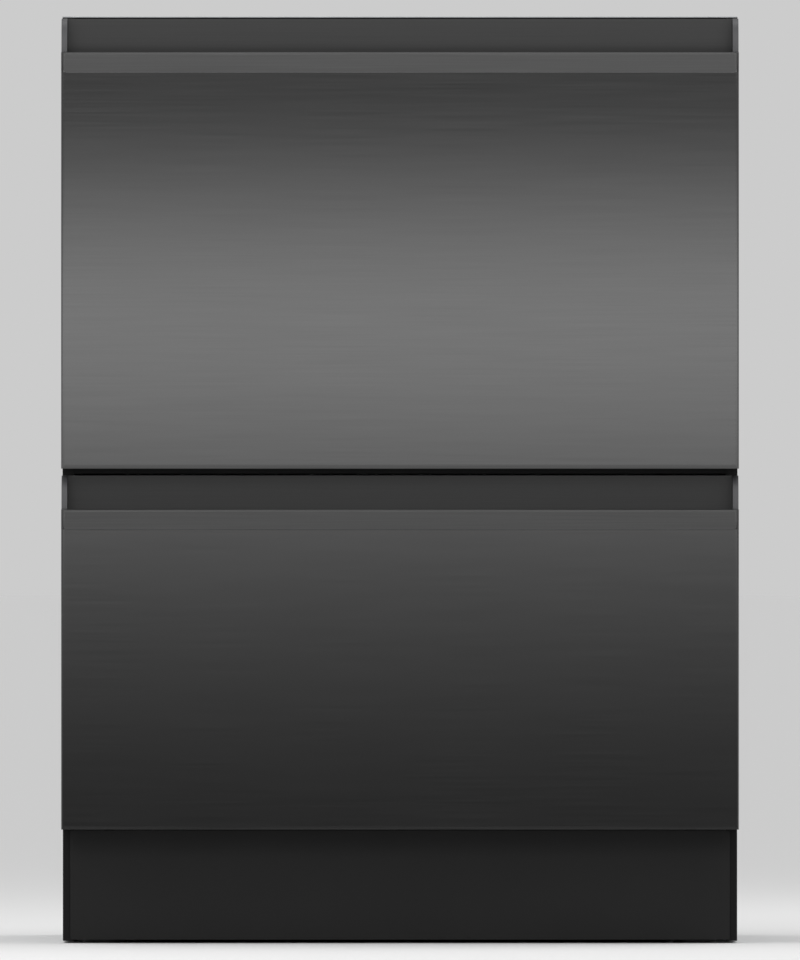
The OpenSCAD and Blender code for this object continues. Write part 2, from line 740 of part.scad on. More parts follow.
// One pocket of the cutlery basket, with drain slots through both long walls and the floor
module cutlery_pocket() {
  slot = 6;
  foot = 14;
  band = 26;
  inner = pocket_w - 2 * basket_t;
  difference() {
    cube([pocket_w, basket_d, basket_h]);
    translate([basket_t, basket_t, basket_t]) cube([inner, basket_d - 2 * basket_t, basket_h]);
    for (x = spread(basket_t + slot, basket_t + inner - 2 * slot, 3)) {
      translate([x, -eps, foot]) cube([slot, basket_d + 2 * eps, basket_h - foot - band]);
      translate([x, 2 * slot, -eps]) cube([slot, basket_d - 4 * slot, basket_t + 2 * eps]);
    }
  }
}

// Cutlery basket: loose pockets side by side, with a clipped-on bail over the middle one
module cutlery_basket(level) {
  z = tub_floor(level) + rack_z + wire_d / 2 + fit;
  y0 = rack_y0 + rack_bend - 2;
  bail_d = 8;
  color("#6d7073") translate([0, y0, z]) {
    for (x = spread(-basket_w / 2, basket_w / 2 - pocket_w, pocket_n)) translate([x, 0, 0]) cutlery_pocket();
    run_y((basket_d - bail_d) / 2, (basket_d + bail_d) / 2) translate([0, basket_h + fit])
      folded(arc([0, 0], (pocket_w - basket_t) / 2, 0, 180, 12), basket_t);
  }
}

// ======== dispenser ========

disp_w = 120;
disp_d = 26;
disp_h = 72;
disp_drop = 16;
disp_x0 = -tub_x + tub_corner;           // beside the tub's rounded corner
disp_y0 = y_tub + tub_wall + fit;
disp_door_x = disp_x0 + 8;
disp_door_w = 62;
disp_door_h = 46;
disp_axis_y = disp_y0 + disp_d + 3;
disp_axis_up = 8;
disp_pin_r = 2;
disp_ear = 3;
cap_r = 12;
cap_at = [disp_x0 + disp_w - 2 * cap_r, disp_h - 26];

function disp_z(level) = rim(level) - disp_drop - disp_h;

// Dispenser on the front wall of the tub, with a detergent cup behind a flap
module dispenser(level) {
  face = disp_y0 + disp_d;
  cup_w = disp_door_w - 12;
  cup_h = disp_door_h - 14;
  seat = 3;
  color("#808386") translate([0, 0, disp_z(level)]) {
    difference() {
      union() {
        block([disp_x0, disp_x0 + disp_w], [disp_y0, face], [0, disp_h]);
        for (x = [disp_door_x - disp_ear - fit, disp_door_x + disp_door_w + fit])
          block([x, x + disp_ear], [face - eps, disp_axis_y + 4], [disp_axis_up - 4, disp_axis_up + 4]);
      }
      // cup behind the flap
      translate([disp_door_x + disp_door_w / 2, 0, disp_axis_up + 4 + cup_h / 2])
        run_y(disp_y0 + 4, face + eps) rounded(cup_w, cup_h, 5);
      // seat of the rinse aid cap
      translate([cap_at[0], face - seat, cap_at[1]]) rotate([-90, 0, 0])
        cylinder(h = seat + eps, r = cap_r + 3);
      // bores of the flap's pins
      translate([disp_door_x - 10, disp_axis_y, disp_axis_up]) rotate([0, 90, 0])
        cylinder(h = disp_door_w + 20, r = disp_pin_r + pivot_fit);
    }
    // rinse aid cap with its grip
    translate([cap_at[0], face - seat - 0.01, cap_at[1]]) rotate([-90, 0, 0]) {
      cylinder(h = 2 * seat, r = cap_r);
      rotate([0, 0, 30]) block([-cap_r + 2, cap_r - 2], [-2, 2], [seat, 3 * seat]);
    }
  }
}

// Flap with its pins, a root that reaches round them and a thumb catch
module dispenser_door(level) {
  face = disp_y0 + disp_d;
  x1 = disp_door_x + disp_door_w;
  mid = disp_door_x + disp_door_w / 2;
  color("#9a9c9f") translate([0, 0, disp_z(level) + disp_axis_up]) {
    block([disp_door_x, x1], [face + fit, face + 3.5], [2, disp_door_h]);
    translate([disp_door_x - disp_ear - fit, disp_axis_y, 0]) rotate([0, 90, 0])
      cylinder(h = disp_door_w + 2 * (disp_ear + fit), r = disp_pin_r);
    block([disp_door_x, x1], [face + 1.2, face + 5], [-1.5, 4]);
    block([mid - 10, mid + 10], [face + 1, face + 7], [disp_door_h - 5, disp_door_h]);
  }
}

// ======== lid ========

lid_x = tub_x + rim_w + 2;
arm_w = 28;
arm_ys = [-150, 150];
arm_tip_x = lid_x + 10;
arm_t = 10;
lid_y0 = y_deck + fit;
lid_y1 = y_tub_back + rim_w + 4;

// Lid that hangs in the chassis over the closed drawer
module lid(level) {
  z1 = lid_top(level);
  z0 = z1 - lid_t;
  plate = 3;
  groove = 2;
  margin = 14;
  cells = [6, 5];
  cell = [2 * (lid_x - margin) / cells[0], (lid_y1 - lid_y0 - 2 * margin) / cells[1]];
  color("#c3c5c7") {
    difference() {
      translate([0, (lid_y0 + lid_y1) / 2, 0]) run_z(z0, z1) rounded(2 * lid_x, lid_y1 - lid_y0, 12);
      // pockets in the top leave a grid of ribs
      for (i = [0 : cells[0] - 1], j = [0 : cells[1] - 1])
        translate([-lid_x + margin + i * cell[0], lid_y0 + margin + j * cell[1], z0 + plate])
          cube([cell[0] - 3, cell[1] - 3, lid_t]);
      difference() {
        translate([0, 0, z0 - eps]) linear_extrude(groove + eps) tub_plan(rim_w - 0.7);
        translate([0, 0, z0 - 2 * eps]) linear_extrude(groove + 4 * eps) tub_plan(-3.3);
      }
    }
    both_sides() for (y = arm_ys)
      block([lid_x - eps, arm_tip_x], [y - arm_w / 2, y + arm_w / 2], [z1 - arm_t - 4, z1 - 4]);
  }
}

// Rubber seal in the lid's groove, over the rim of the tub
module lid_seal(level) {
  z0 = lid_top(level) - lid_t - seal_proud;
  color("#4b4c4e") difference() {
    run_z(z0, z0 + seal_proud + 1.8) tub_plan(rim_w - 1);
    run_z(z0 - eps, z0 + seal_proud + 2.5) tub_plan(-3);
  }
}

// Geared housings on the chassis walls; the lid's arms run in their grooves
module lid_actuators() {
  inner = lid_x + 2;
  color("#2f3032") for (level = [LOWER, UPPER]) let (z1 = lid_top(level)) both_sides() for (y = arm_ys)
    difference() {
      block([inner, wall_x], [y - arm_w / 2 - 8, y + arm_w / 2 + 8], [z1 - 70, z1 - 1]);
      block([inner - eps, arm_tip_x + fit], [y - arm_w / 2 - fit, y + arm_w / 2 + fit],
            [z1 - arm_t - 4 - lid_lift - fit, z1 + eps]);
    }
}

// ======== chassis ========

screw_r = 2.5;
screw_inset = 59;
screw_zs = [toe_top + screw_inset, top_sheet_z - screw_inset];
hose_window = [70, 56];
valve_x = -210;
joiner_x = 210;
service_z = 62;
bead_w = 16;
bead_depth = 2;
bay_zs = [[toe_top + 45, brace_z - 20], [brace_z + brace_h + 30, top_sheet_z - 40]];

module shell_plan(front) {
  difference() {
    translate([-shell_x, front]) square([2 * shell_x, y_back - front]);
    translate([-shell_x + sheet_t, front + sheet_t])
      square([2 * (shell_x - sheet_t), y_back - front - 2 * sheet_t]);
    translate([-mouth_x, front - eps]) square([2 * mouth_x, sheet_t + 2 * eps]);
  }
}

// One upright bead, w wide, from z[0] to z[1], reaching from y = from to y = to
module bead(z, w, from, to) {
  translate([0, to, (z[0] + z[1]) / 2]) rotate([90, 0, 0])
    linear_extrude(to - from) rotate(90) capsule(z[1] - z[0] + w - bead_w, w);
}

// Beads of the back and of both sides, drawn on a wall whose outside is at y = 0
module wall_beads(w, from, to) {
  for (z = bay_zs) {
    for (x = spread(-overall_w / 4, overall_w / 4, 4)) translate([x, y_back, 0]) bead(z, w, from, to);
    for (s = [-1, 1], y = [-95, 95])
      translate([s * shell_x, y, 0]) rotate([0, 0, -90 * s]) bead(z, w, from, to);
  }
}

// Wrapper of folded sheet: back, two sides and the flanges along its mouth, stiffened by pressed beads
module chassis_shell() {
  color("#8b8d8f") difference() {
    union() {
      run_z(toe_top, top_sheet_z) shell_plan(y_mouth);
      run_z(2, toe_top + eps) shell_plan(y_toe);
      wall_beads(bead_w + 2 * sheet_t, -bead_depth - sheet_t, -sheet_t / 2);
    }
    wall_beads(bead_w, -bead_depth, eps);
    for (x = [valve_x, joiner_x]) translate([x, y_back + eps, service_z]) rotate([90, 0, 0])
      linear_extrude(sheet_t + 2 * eps) rounded(hose_window[0], hose_window[1], 8);
    both_sides() for (z = screw_zs)
      translate([mouth_x + (flange_w - sheet_t) / 2, y_mouth - eps, z]) rotate([-90, 0, 0])
        cylinder(h = sheet_t + 2 * eps, r = screw_r);
  }
}

foot_x = half_w - 38;
foot_ys = [y_toe + 36, y_back - 36];
foot_rod_r = 5;
foot_pad_r = 19;
boss_h = 26;
pan_t = 1.2;

// Drip tray that closes the chassis at the bottom and holds the feet
module base_pan() {
  y0 = y_toe + sheet_t + fit;
  y1 = y_back - sheet_t - fit;
  edge = 18;
  ridge = 4;
  color("#77797b") difference() {
    union() {
      difference() {
        block([-wall_x, wall_x], [y0, y1], [pan_z, pan_z + edge]);
        block([-wall_x + pan_t, wall_x - pan_t], [y0 + pan_t, y1 - pan_t],
              [pan_z + pan_t, pan_z + edge + eps]);
      }
      for (s = [-1, 1], y = foot_ys) translate([s * foot_x, y, pan_z]) cylinder(h = boss_h, r = 11);
      // ridges across the front half
      for (y = [-130, -40])
        block([-foot_x + 60, foot_x - 60], [y - ridge, y + ridge], [pan_z + 0.6, pan_z + ridge]);
    }
    for (s = [-1, 1], y = foot_ys) translate([s * foot_x, y, pan_z - eps])
      cylinder(h = boss_h + 2 * eps, r = foot_rod_r + pivot_fit);
  }
}

// Levelling foot: pad, hexagon and stem
module foot(sx, i) {
  nut_z = 7;
  nut_h = 6;
  color("#3b3b3c") translate([sx * foot_x, foot_ys[i], 0]) {
    cylinder(h = 3, r = foot_pad_r);
    translate([0, 0, 2.99]) cylinder(h = 5, r1 = foot_pad_r, r2 = 10);
    translate([0, 0, nut_z]) cylinder(h = nut_h, r = 9, $fn = 6);
    translate([0, 0, nut_z + nut_h - 1]) cylinder(h = pan_z + foot_travel + 2, r = foot_rod_r);
  }
}

kick_x = half_w - 7.5;

// Toe panel: a plate with folded edges that enter the chassis mouth
module kick_panel() {
  t = sheet_t;
  y = y_toe - fit - t / 2;
  z0 = 3;
  z1 = toe_top - 1;
  fold_x = mouth_x - fit;
  color("#3a3a3c") {
    block([-kick_x, kick_x], [y - t / 2, y + t / 2], [z0, z1]);
    run_x(-fold_x, fold_x)
      folded([[y + 10, z0 + t / 2], [y, z0 + t / 2], [y, z1 - t / 2], [y + 6, z1 - t / 2]], t);
  }
}

// Channel frames between the two bays
module mid_brace() {
  t = sheet_t;
  z0 = brace_z + t / 2;
  z1 = brace_z + brace_h - t / 2;
  y0 = y_mouth + t + fit + t / 2;
  y1 = y_back - t - fit - t / 2;
  reach = [100, 60];       // of the front and of the rear channel
  ear_h = 24;
  color("#85878a") {
    run_x(-wall_x, wall_x) folded([[y0 + reach[0], z0], [y0, z0], [y0, z1], [y0 + reach[0], z1]], t);
    run_x(-wall_x, wall_x) folded([[y1 - reach[1], z1], [y1, z1], [y1, z0], [y1 - reach[1], z0]], t);
    // ears that are screwed to the chassis walls
    both_sides() {
      block([wall_x - t, wall_x], [y0, y0 + reach[0] - 4], [z0, z1 + ear_h]);
      block([wall_x - t, wall_x], [y1 - reach[1] + 4, y1], [z0, z1 + ear_h]);
    }
  }
}

// Thin sheet over both bays
module top_sheet() {
  press = 0.4;
  len = 0.74 * (y_back - y_mouth);
  color("#909294") difference() {
    block([-shell_x, shell_x], [y_mouth, y_back], [top_sheet_z, overall_h]);
    for (x = spread(-0.3 * overall_w, 0.3 * overall_w, 3))
      translate([x, (y_mouth + y_back) / 2, overall_h - press])
        linear_extrude(press + eps) rotate(90) capsule(len, bead_w + 8);
  }
}

// ======== services ========

pan_top = pan_z + pan_t + fit;           // where what stands in the pan begins

// Mains terminal and control electronics in a flat box on the base pan
module power_module() {
  size = [160, 130, 46];
  slot = 4;
  color("#4a4c4f") translate([-190, 20, pan_top]) {
    difference() {
      cube(size);
      // vent slots in the top
      for (i = [0 : 7]) translate([(2.5 * i + 2.5) * slot, 40, size[2] - 1.5]) cube([slot, 60, 1.5 + eps]);
    }
    // feet that are clipped to the pan
    for (y = [20, size[1] - 32]) translate([-slot, y, 0]) cube([2 * slot, 12, 3]);
  }
}

valve_r = 13.1;

// Inlet valve with a hose thread at the back
module water_valve() {
  color("#e4e5e3") translate([valve_x, y_back - 3, service_z]) {
    translate([0, -24, 0]) rotate([-90, 0, 0]) cylinder(h = 24, r = valve_r);
    translate([0, -27, 0]) rotate([-90, 0, 0]) cylinder(h = 4, r = valve_r + 4);
    block([-16, 16], [-60, -26], [pan_top - service_z, 14]);
    // solenoid
    translate([0, -46, 13]) cylinder(h = 26, r = 13);
  }
}

// Junction where both drain hoses join the one that leaves
module drain_joiner() {
  color("#55575a") translate([joiner_x, y_back - 3, service_z]) {
    difference() {
      union() {
        translate([0, -30, 0]) rotate([-90, 0, 0]) cylinder(h = 30, r = joiner_r);
        translate([0, -34, 0]) rotate([-90, 0, 0]) cylinder(h = 5, r = joiner_r + 4);
      }
      translate([0, -26, 0]) rotate([-90, 0, 0]) cylinder(h = 30, r = joiner_r - 2);
    }
    block([-22, 22], [-62, -32], [pan_top - service_z, 16]);
    // spigots of the two drawers' hoses
    for (s = [-1, 1]) translate([s * 11, -84, 0]) rotate([-90, 0, 0]) cylinder(h = 24, r = joiner_r);
  }
}

// ======== choice of node ========

front_panel(UPPER);  // upper_front_panel
handle_recess(UPPER);  // upper_handle_recess
handle_end_caps(UPPER);  // upper_handle_end_caps
front_liner(UPPER);  // upper_front_liner
control_deck(UPPER);  // upper_control_deck
button(UPPER, button_xs[0]);  // upper_power_button
button(UPPER, button_xs[1]);  // upper_program_button
button(UPPER, button_xs[2]);  // upper_start_button
tub(UPPER);  // upper_tub
inner_rails(UPPER);  // upper_inner_rails
mid_rails(UPPER);  // upper_mid_rails
wash_pump(UPPER);  // upper_wash_pump
filter_plate(UPPER);  // upper_filter_plate
drain_filter(UPPER);  // upper_drain_filter
spray_arm(UPPER);  // upper_spray_arm
dish_rack(UPPER);  // upper_dish_rack
mirror([1, 0, 0]) cup_rack(UPPER);  // upper_cup_rack_left
cup_rack(UPPER);  // upper_cup_rack_right
cutlery_basket(UPPER);  // upper_cutlery_basket
dispenser(UPPER);  // upper_dispenser
dispenser_door(UPPER);  // upper_dispenser_door
lid(UPPER);  // upper_lid
lid_seal(UPPER);  // upper_lid_seal
front_panel(LOWER);  // lower_front_panel
handle_recess(LOWER);  // lower_handle_recess
handle_end_caps(LOWER);  // lower_handle_end_caps
front_liner(LOWER);  // lower_front_liner
control_deck(LOWER);  // lower_control_deck
button(LOWER, button_xs[0]);  // lower_power_button
button(LOWER, button_xs[1]);  // lower_program_button
button(LOWER, button_xs[2]);  // lower_start_button
tub(LOWER);  // lower_tub
inner_rails(LOWER);  // lower_inner_rails
mid_rails(LOWER);  // lower_mid_rails
wash_pump(LOWER);  // lower_wash_pump
filter_plate(LOWER);  // lower_filter_plate
drain_filter(LOWER);  // lower_drain_filter
spray_arm(LOWER);  // lower_spray_arm
dish_rack(LOWER);  // lower_dish_rack
mirror([1, 0, 0]) cup_rack(LOWER);  // lower_cup_rack_left
cup_rack(LOWER);  // lower_cup_rack_right
cutlery_basket(LOWER);  // lower_cutlery_basket
dispenser(LOWER);  // lower_dispenser
dispenser_door(LOWER);  // lower_dispenser_door
lid(LOWER);  // lower_lid
lid_seal(LOWER);  // lower_lid_seal
chassis_shell();
base_pan();
mid_brace();
top_sheet();
kick_panel();
outer_rails();
lid_actuators();
foot(-1, 0);  // foot_front_left
foot(1, 0);  // foot_front_right
foot(-1, 1);  // foot_rear_left
foot(1, 1);  // foot_rear_right
power_module();
water_valve();
drain_joiner();
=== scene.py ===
"""A built-under double drawer dishwasher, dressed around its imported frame."""

import logging
import math
from dataclasses import dataclass, field
from enum import Enum
from typing import Iterable, Optional, Sequence

import bmesh
import bpy
import numpy as np
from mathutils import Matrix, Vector


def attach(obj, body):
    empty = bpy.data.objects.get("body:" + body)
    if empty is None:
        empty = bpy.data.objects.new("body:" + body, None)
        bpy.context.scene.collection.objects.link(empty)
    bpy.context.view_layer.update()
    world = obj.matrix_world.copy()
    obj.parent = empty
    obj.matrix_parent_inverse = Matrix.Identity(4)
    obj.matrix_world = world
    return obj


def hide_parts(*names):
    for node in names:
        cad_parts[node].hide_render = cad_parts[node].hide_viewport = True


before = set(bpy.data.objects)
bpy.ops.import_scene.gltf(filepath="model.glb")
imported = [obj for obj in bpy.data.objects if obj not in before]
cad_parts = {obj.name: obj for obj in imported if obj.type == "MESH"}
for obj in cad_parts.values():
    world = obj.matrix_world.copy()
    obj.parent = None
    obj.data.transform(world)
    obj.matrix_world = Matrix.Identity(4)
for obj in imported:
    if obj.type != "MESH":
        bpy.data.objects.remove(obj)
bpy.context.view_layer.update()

LOG = logging.getLogger("dishwasher")
MM = 0.001

Object = bpy.types.Object
Material = bpy.types.Material
Socket = bpy.types.NodeSocket
Array = np.ndarray
Surface = tuple[Array, Array]


# ======== small tools ========


def linear(colour: str) -> tuple[float, float, float, float]:
    """Turns an sRGB hex colour into a linear one with full alpha.

    Args:
        colour: six hex digits after a hash.

    Returns:
        Red, green, blue and alpha, each from 0 to 1.
    """
    parts = [int(colour[i:i + 2], 16) / 255 for i in (1, 3, 5)]
    r, g, b = [c / 12.92 if c <= 0.04045 else ((c + 0.055) / 1.055) ** 2.4 for c in parts]
    return (r, g, b, 1.0)


class Tree:
    """A material's or the world's node tree, filled one node at a time."""

    def __init__(self, nodes: bpy.types.NodeTree) -> None:
        """Empties the tree.

        Args:
            nodes: the tree to fill.
        """
        self.tree = nodes
        nodes.nodes.clear()

    def add(self, kind: str, sockets: Optional[dict] = None, **settings: object) -> bpy.types.Node:
        """Adds one node with its settings and what goes into its sockets.

        Args:
            kind: the node's type without its ShaderNode prefix.
            sockets: input name or index, and the value or output socket that it takes.
            **settings: the node's own properties.

        Returns:
            The new node.
        """
        node = self.tree.nodes.new("ShaderNode" + kind)
        for name, value in settings.items():
            setattr(node, name, value)
        for name, value in (sockets or {}).items():
            if isinstance(value, Socket):
                self.tree.links.new(value, node.inputs[name])
            else:
                node.inputs[name].default_value = value
        return node

    def ramp(self, value: Socket, stops: Sequence[tuple[float, object]]) -> Socket:
        """Adds a colour ramp.

        Args:
            value: the socket that drives it.
            stops: positions from 0 to 1 with a grey level or a colour each.

        Returns:
            The ramp's colour socket.
        """
        node = self.add("ValToRGB", {"Fac": value})
        elements = node.color_ramp.elements
        while len(elements) < len(stops):
            elements.new(0.5)
        for element, (at, level) in zip(elements, stops):
            element.position = at
            element.color = level if isinstance(level, tuple) else (level, level, level, 1)
        return node.outputs["Color"]


# ======== finishes ========

# The band that most of a noise's values lie in
NOISE_LOW = 0.3
NOISE_HIGH = 0.7


@dataclass(frozen=True)
class Finish:
    """What every finish has: a colour, its gloss, and a grain in millimetres."""

    name: str
    colour: str
    second: str
    roughness: float
    metallic: float = 0.0
    grain_mm: float = 0.5
    bump_mm: float = 0.02
    ior: float = 1.5

    def shader(self, tree: Tree, colour: object, roughness: object, normal: object, **extra: object) -> None:
        """Closes the tree with one Principled shader.

        Args:
            tree: the tree to close.
            colour: colour or socket for the base.
            roughness: number or socket.
            normal: socket with the bumped normal.
            **extra: further sockets by name, with spaces as underscores.
        """
        sockets = {"Base Color": colour, "Roughness": roughness, "Metallic": self.metallic,
                   "Normal": normal}
        if not self.metallic:
            sockets["IOR"] = self.ior
        sockets.update({k.replace("_", " "): v for k, v in extra.items()})
        closed = tree.add("BsdfPrincipled", sockets)
        tree.add("OutputMaterial", {"Surface": closed.outputs["BSDF"]})

    def noise(self, tree: Tree, size_mm: Sequence[float], detail: float = 2.0) -> Socket:
        """Adds object-space noise whose blobs have the given size along X, Y and Z.

        Args:
            tree: the tree to add to.
            size_mm: blob size along each axis.
            detail: octaves.

        Returns:
            The noise's value socket.
        """
        place = tree.add("TexCoord").outputs["Object"]
        scaled = tree.add("Mapping", {"Vector": place, "Scale": [1 / (s * MM) for s in size_mm]})
        cloud = tree.add("TexNoise", {"Vector": scaled.outputs["Vector"], "Scale": 1.0, "Detail": detail})
        return cloud.outputs["Fac"]

    def blended(self, tree: Tree, share: Socket, low: float = NOISE_LOW, high: float = NOISE_HIGH) -> Socket:
        """Mixes the finish's two colours by a noise value.

        Args:
            tree: the tree to add to.
            share: the noise.
            low: noise value at which the first colour is pure.
            high: noise value at which the second colour is pure.

        Returns:
            The colour socket.
        """
        return tree.ramp(share, [(low, linear(self.colour)), (high, linear(self.second))])

    def rough_band(self, tree: Tree, share: Socket, spread: float) -> Socket:
        """Varies the roughness about its own value by a noise value.

        Args:
            tree: the tree to add to.
            share: the noise.
            spread: how far the roughness goes up and down.

        Returns:
            The roughness socket.
        """
        band = tree.add("MapRange", {"Value": share, "From Min": NOISE_LOW, "From Max": NOISE_HIGH,
                                     "To Min": self.roughness - spread, "To Max": self.roughness + spread})
        return band.outputs["Result"]

    def bumped(self, tree: Tree, height: Socket, strength: float = 1.0) -> Socket:
        """Adds a bump of the finish's own depth.

        Args:
            tree: the tree to add to.
            height: what gives the relief, from 0 to 1.
            strength: share of the relief that shows.

        Returns:
            The normal socket.
        """
        relief = tree.add("Bump", {"Height": height, "Distance": self.bump_mm * MM, "Strength": strength})
        return relief.outputs["Normal"]

    def build(self) -> Material:
        """Makes the material.

        Returns:
            The new material.
        """
        material = bpy.data.materials.new(self.name)
        material.use_nodes = True
        self.fill(Tree(material.node_tree))
        return material

    def fill(self, tree: Tree) -> None:
        """Fills the tree; each finish has its own way.

        Args:
            tree: the tree to fill.
        """
        raise NotImplementedError


class Along(Enum):
    """The axis that a brushed or drawn metal's lines run along."""

    X = 0
    Y = 1


@dataclass(frozen=True)
class BrushedSteel(Finish):
    """Steel with fine parallel lines from a belt; they stretch a highlight across them."""

    along: Along = Along.X
    stroke_mm: float = 110.0
    anisotropy: float = 0.55
    quarter_turn: float = 0.25
    # The sheet in front of lip_y is paled by a painted highlight on the lip, and made rougher
    lip_y: Optional[float] = None
    lip_step_mm: float = 0.04
    lip_highlight_gain: float = 1.22
    lip_roughness: float = 0.52

    def fill(self, tree: Tree) -> None:
        """Lines as noise stretched along the belt, in the colour, gloss and relief alike.

        Args:
            tree: the tree to fill.
        """
        sizes = [self.grain_mm] * 3
        sizes[self.along.value] = self.stroke_mm
        lines = self.noise(tree, sizes, detail=4.0)
        tangent = tree.add("Tangent", direction_type="RADIAL", axis="Z").outputs["Tangent"]
        rough = self.rough_band(tree, lines, spread=0.1 * self.roughness)
        colour = self.blended(tree, lines)
        if self.lip_y is not None:
            colour, rough = self.lip_painted_highlight(tree, colour, rough)
        self.shader(tree, colour, rough, self.bumped(tree, lines, strength=0.5),
                    Anisotropic=self.anisotropy, Anisotropic_Rotation=self.quarter_turn, Tangent=tangent)

    def lip_painted_highlight(self, tree: Tree, colour: Socket, rough: Socket) -> tuple[Socket, Socket]:
        """Pales and dulls the sheet in front of lip_y, in metres: the paling is a painted highlight on the
        lip, and the dulling makes it rougher.

        Args:
            tree: the tree to add to.
            colour: the colour of the flat sheet.
            rough: its roughness.

        Returns:
            The colour and roughness sockets.
        """
        place = tree.add("TexCoord").outputs["Object"]
        y = tree.add("SeparateXYZ", {"Vector": place}).outputs["Y"]
        share = tree.add("MapRange", {"Value": y, "From Min": self.lip_y,
                                      "From Max": self.lip_y - self.lip_step_mm * MM}).outputs["Result"]
        # The gain pales the lip's colour: a painted highlight
        gain = tree.add("MapRange", {"Value": share, "To Min": 1.0, "To Max": self.lip_highlight_gain})
        pale = tree.add("VectorMath", {0: colour, "Scale": gain.outputs["Result"]}, operation="SCALE")
        dull = tree.add("Mix", {0: share, 2: rough, 3: self.lip_roughness})
        return pale.outputs["Vector"], dull.outputs[0]


@dataclass(frozen=True)
class ZincSteel(Finish):
    """Hot-dip galvanised sheet: grey crystals of zinc, each with its own shade and gloss."""

    cloud_mm: float = 0.8
    crystal_share: float = 0.7
    cloud_share: float = 0.3

    def fill(self, tree: Tree) -> None:
        """Crystals as Voronoi cells; a fine noise breaks up their shades.

        Args:
            tree: the tree to fill.
        """
        place = tree.add("TexCoord").outputs["Object"]
        cells = tree.add("TexVoronoi", {"Vector": place, "Scale": 1 / (self.grain_mm * MM),
                                        "Randomness": 1.0})
        shade = tree.add("SeparateColor", {"Color": cells.outputs["Color"]}).outputs[0]
        cloud = self.noise(tree, [self.cloud_mm] * 3)
        faint = tree.add("Math", {0: cloud, 1: self.cloud_share}, operation="MULTIPLY").outputs[0]
        mixed = tree.add("Math", {0: shade, 1: self.crystal_share, 2: faint},
                         operation="MULTIPLY_ADD").outputs[0]
        self.shader(tree, self.blended(tree, mixed, low=0.1, high=0.9),
                    self.rough_band(tree, mixed, spread=0.05), self.bumped(tree, cloud, strength=0.3))


@dataclass(frozen=True)
class ZincWithPaintedShade(ZincSteel):
    """Galvanised sheet with painted shade: matt black in front of a line at a given y, in metres, so the gaps
    stay dark.
    """

    shade_colour: str = "#0c0c0c"
    shade_y: float = -0.2235
    paint_roughness: float = 0.6
    paint_specular: float = 0.15
    peel_mm: float = 1.6

    def fill(self, tree: Tree) -> None:
        """Crystals behind the line, and matt black painted shade in front of it.

        Args:
            tree: the tree to fill.
        """
        super().fill(tree)
        metal = next(n for n in tree.tree.nodes if n.type == "BSDF_PRINCIPLED")
        out = next(n for n in tree.tree.nodes if n.type == "OUTPUT_MATERIAL")
        y = tree.add("SeparateXYZ", {"Vector": tree.add("TexCoord").outputs["Object"]}).outputs["Y"]
        # In front of the line the sheet is black: painted shade
        painted_shade_mask = tree.add("Math", {0: y, 1: self.shade_y}, operation="LESS_THAN").outputs[0]
        peel = self.noise(tree, [self.peel_mm] * 3, detail=0.0)
        black = tree.add("BsdfPrincipled", {"Base Color": linear(self.shade_colour),
                                            "Roughness": self.paint_roughness,
                                            "Specular IOR Level": self.paint_specular,
                                            "Normal": self.bumped(tree, peel, strength=0.5)})
        both = tree.add("MixShader", {0: painted_shade_mask, 1: metal.outputs[0], 2: black.outputs[0]})
        tree.tree.links.new(both.outputs[0], out.inputs["Surface"])


@dataclass(frozen=True)
class MouldedPlastic(Finish):
    """Injection-moulded plastic with a fine spark-eroded grain."""

    drift_mm: float = 90.0

    def fill(self, tree: Tree) -> None:
        """Grain as fine noise, with a slow drift of shade over the part.

        Args:
            tree: the tree to fill.
        """
        grain = self.noise(tree, [self.grain_mm] * 3)
        drift = self.noise(tree, [self.drift_mm] * 3, detail=1.0)
        self.shader(tree, self.blended(tree, drift, low=0.35, high=0.65),
                    self.rough_band(tree, grain, spread=0.05), self.bumped(tree, grain, strength=0.6))


@dataclass(frozen=True)
class PowderCoat(Finish):
    """Sheet or wire under a baked coat, which flows into a slight orange peel."""

    drift_mm: float = 60.0

    def fill(self, tree: Tree) -> None:
        """Peel as smooth noise a millimetre or two across.

        Args:
            tree: the tree to fill.
        """
        peel = self.noise(tree, [self.grain_mm] * 3, detail=0.0)
        drift = self.noise(tree, [self.drift_mm] * 3, detail=1.0)
        self.shader(tree, self.blended(tree, drift, low=0.35, high=0.65),
                    self.rough_band(tree, peel, spread=0.03), self.bumped(tree, peel, strength=0.5))


@dataclass(frozen=True)
class MouldedRubber(Finish):
    """Moulded rubber: dull, with a fine grain and a pale bloom."""

    bloom_mm: float = 14.0

    def fill(self, tree: Tree) -> None:
        """Bloom as soft noise over a dull body.

        Args:
            tree: the tree to fill.
        """
        bloom = self.noise(tree, [self.bloom_mm] * 3, detail=3.0)
        grain = self.noise(tree, [self.grain_mm] * 3, detail=1.0)
        self.shader(tree, self.blended(tree, bloom, low=0.4, high=0.75),
                    self.rough_band(tree, bloom, spread=0.06), self.bumped(tree, grain, strength=0.5))


@dataclass(frozen=True)
class PaleFloor(Finish):
    """Seamless studio paper, matt and pale."""

    def fill(self, tree: Tree) -> None:
        """Even paper with a hint of fibre.

        Args:
            tree: the tree to fill.
        """
        fibre = self.noise(tree, [self.grain_mm] * 3)
        self.shader(tree, self.blended(tree, fibre), self.roughness,
                    self.bumped(tree, fibre, strength=0.1))
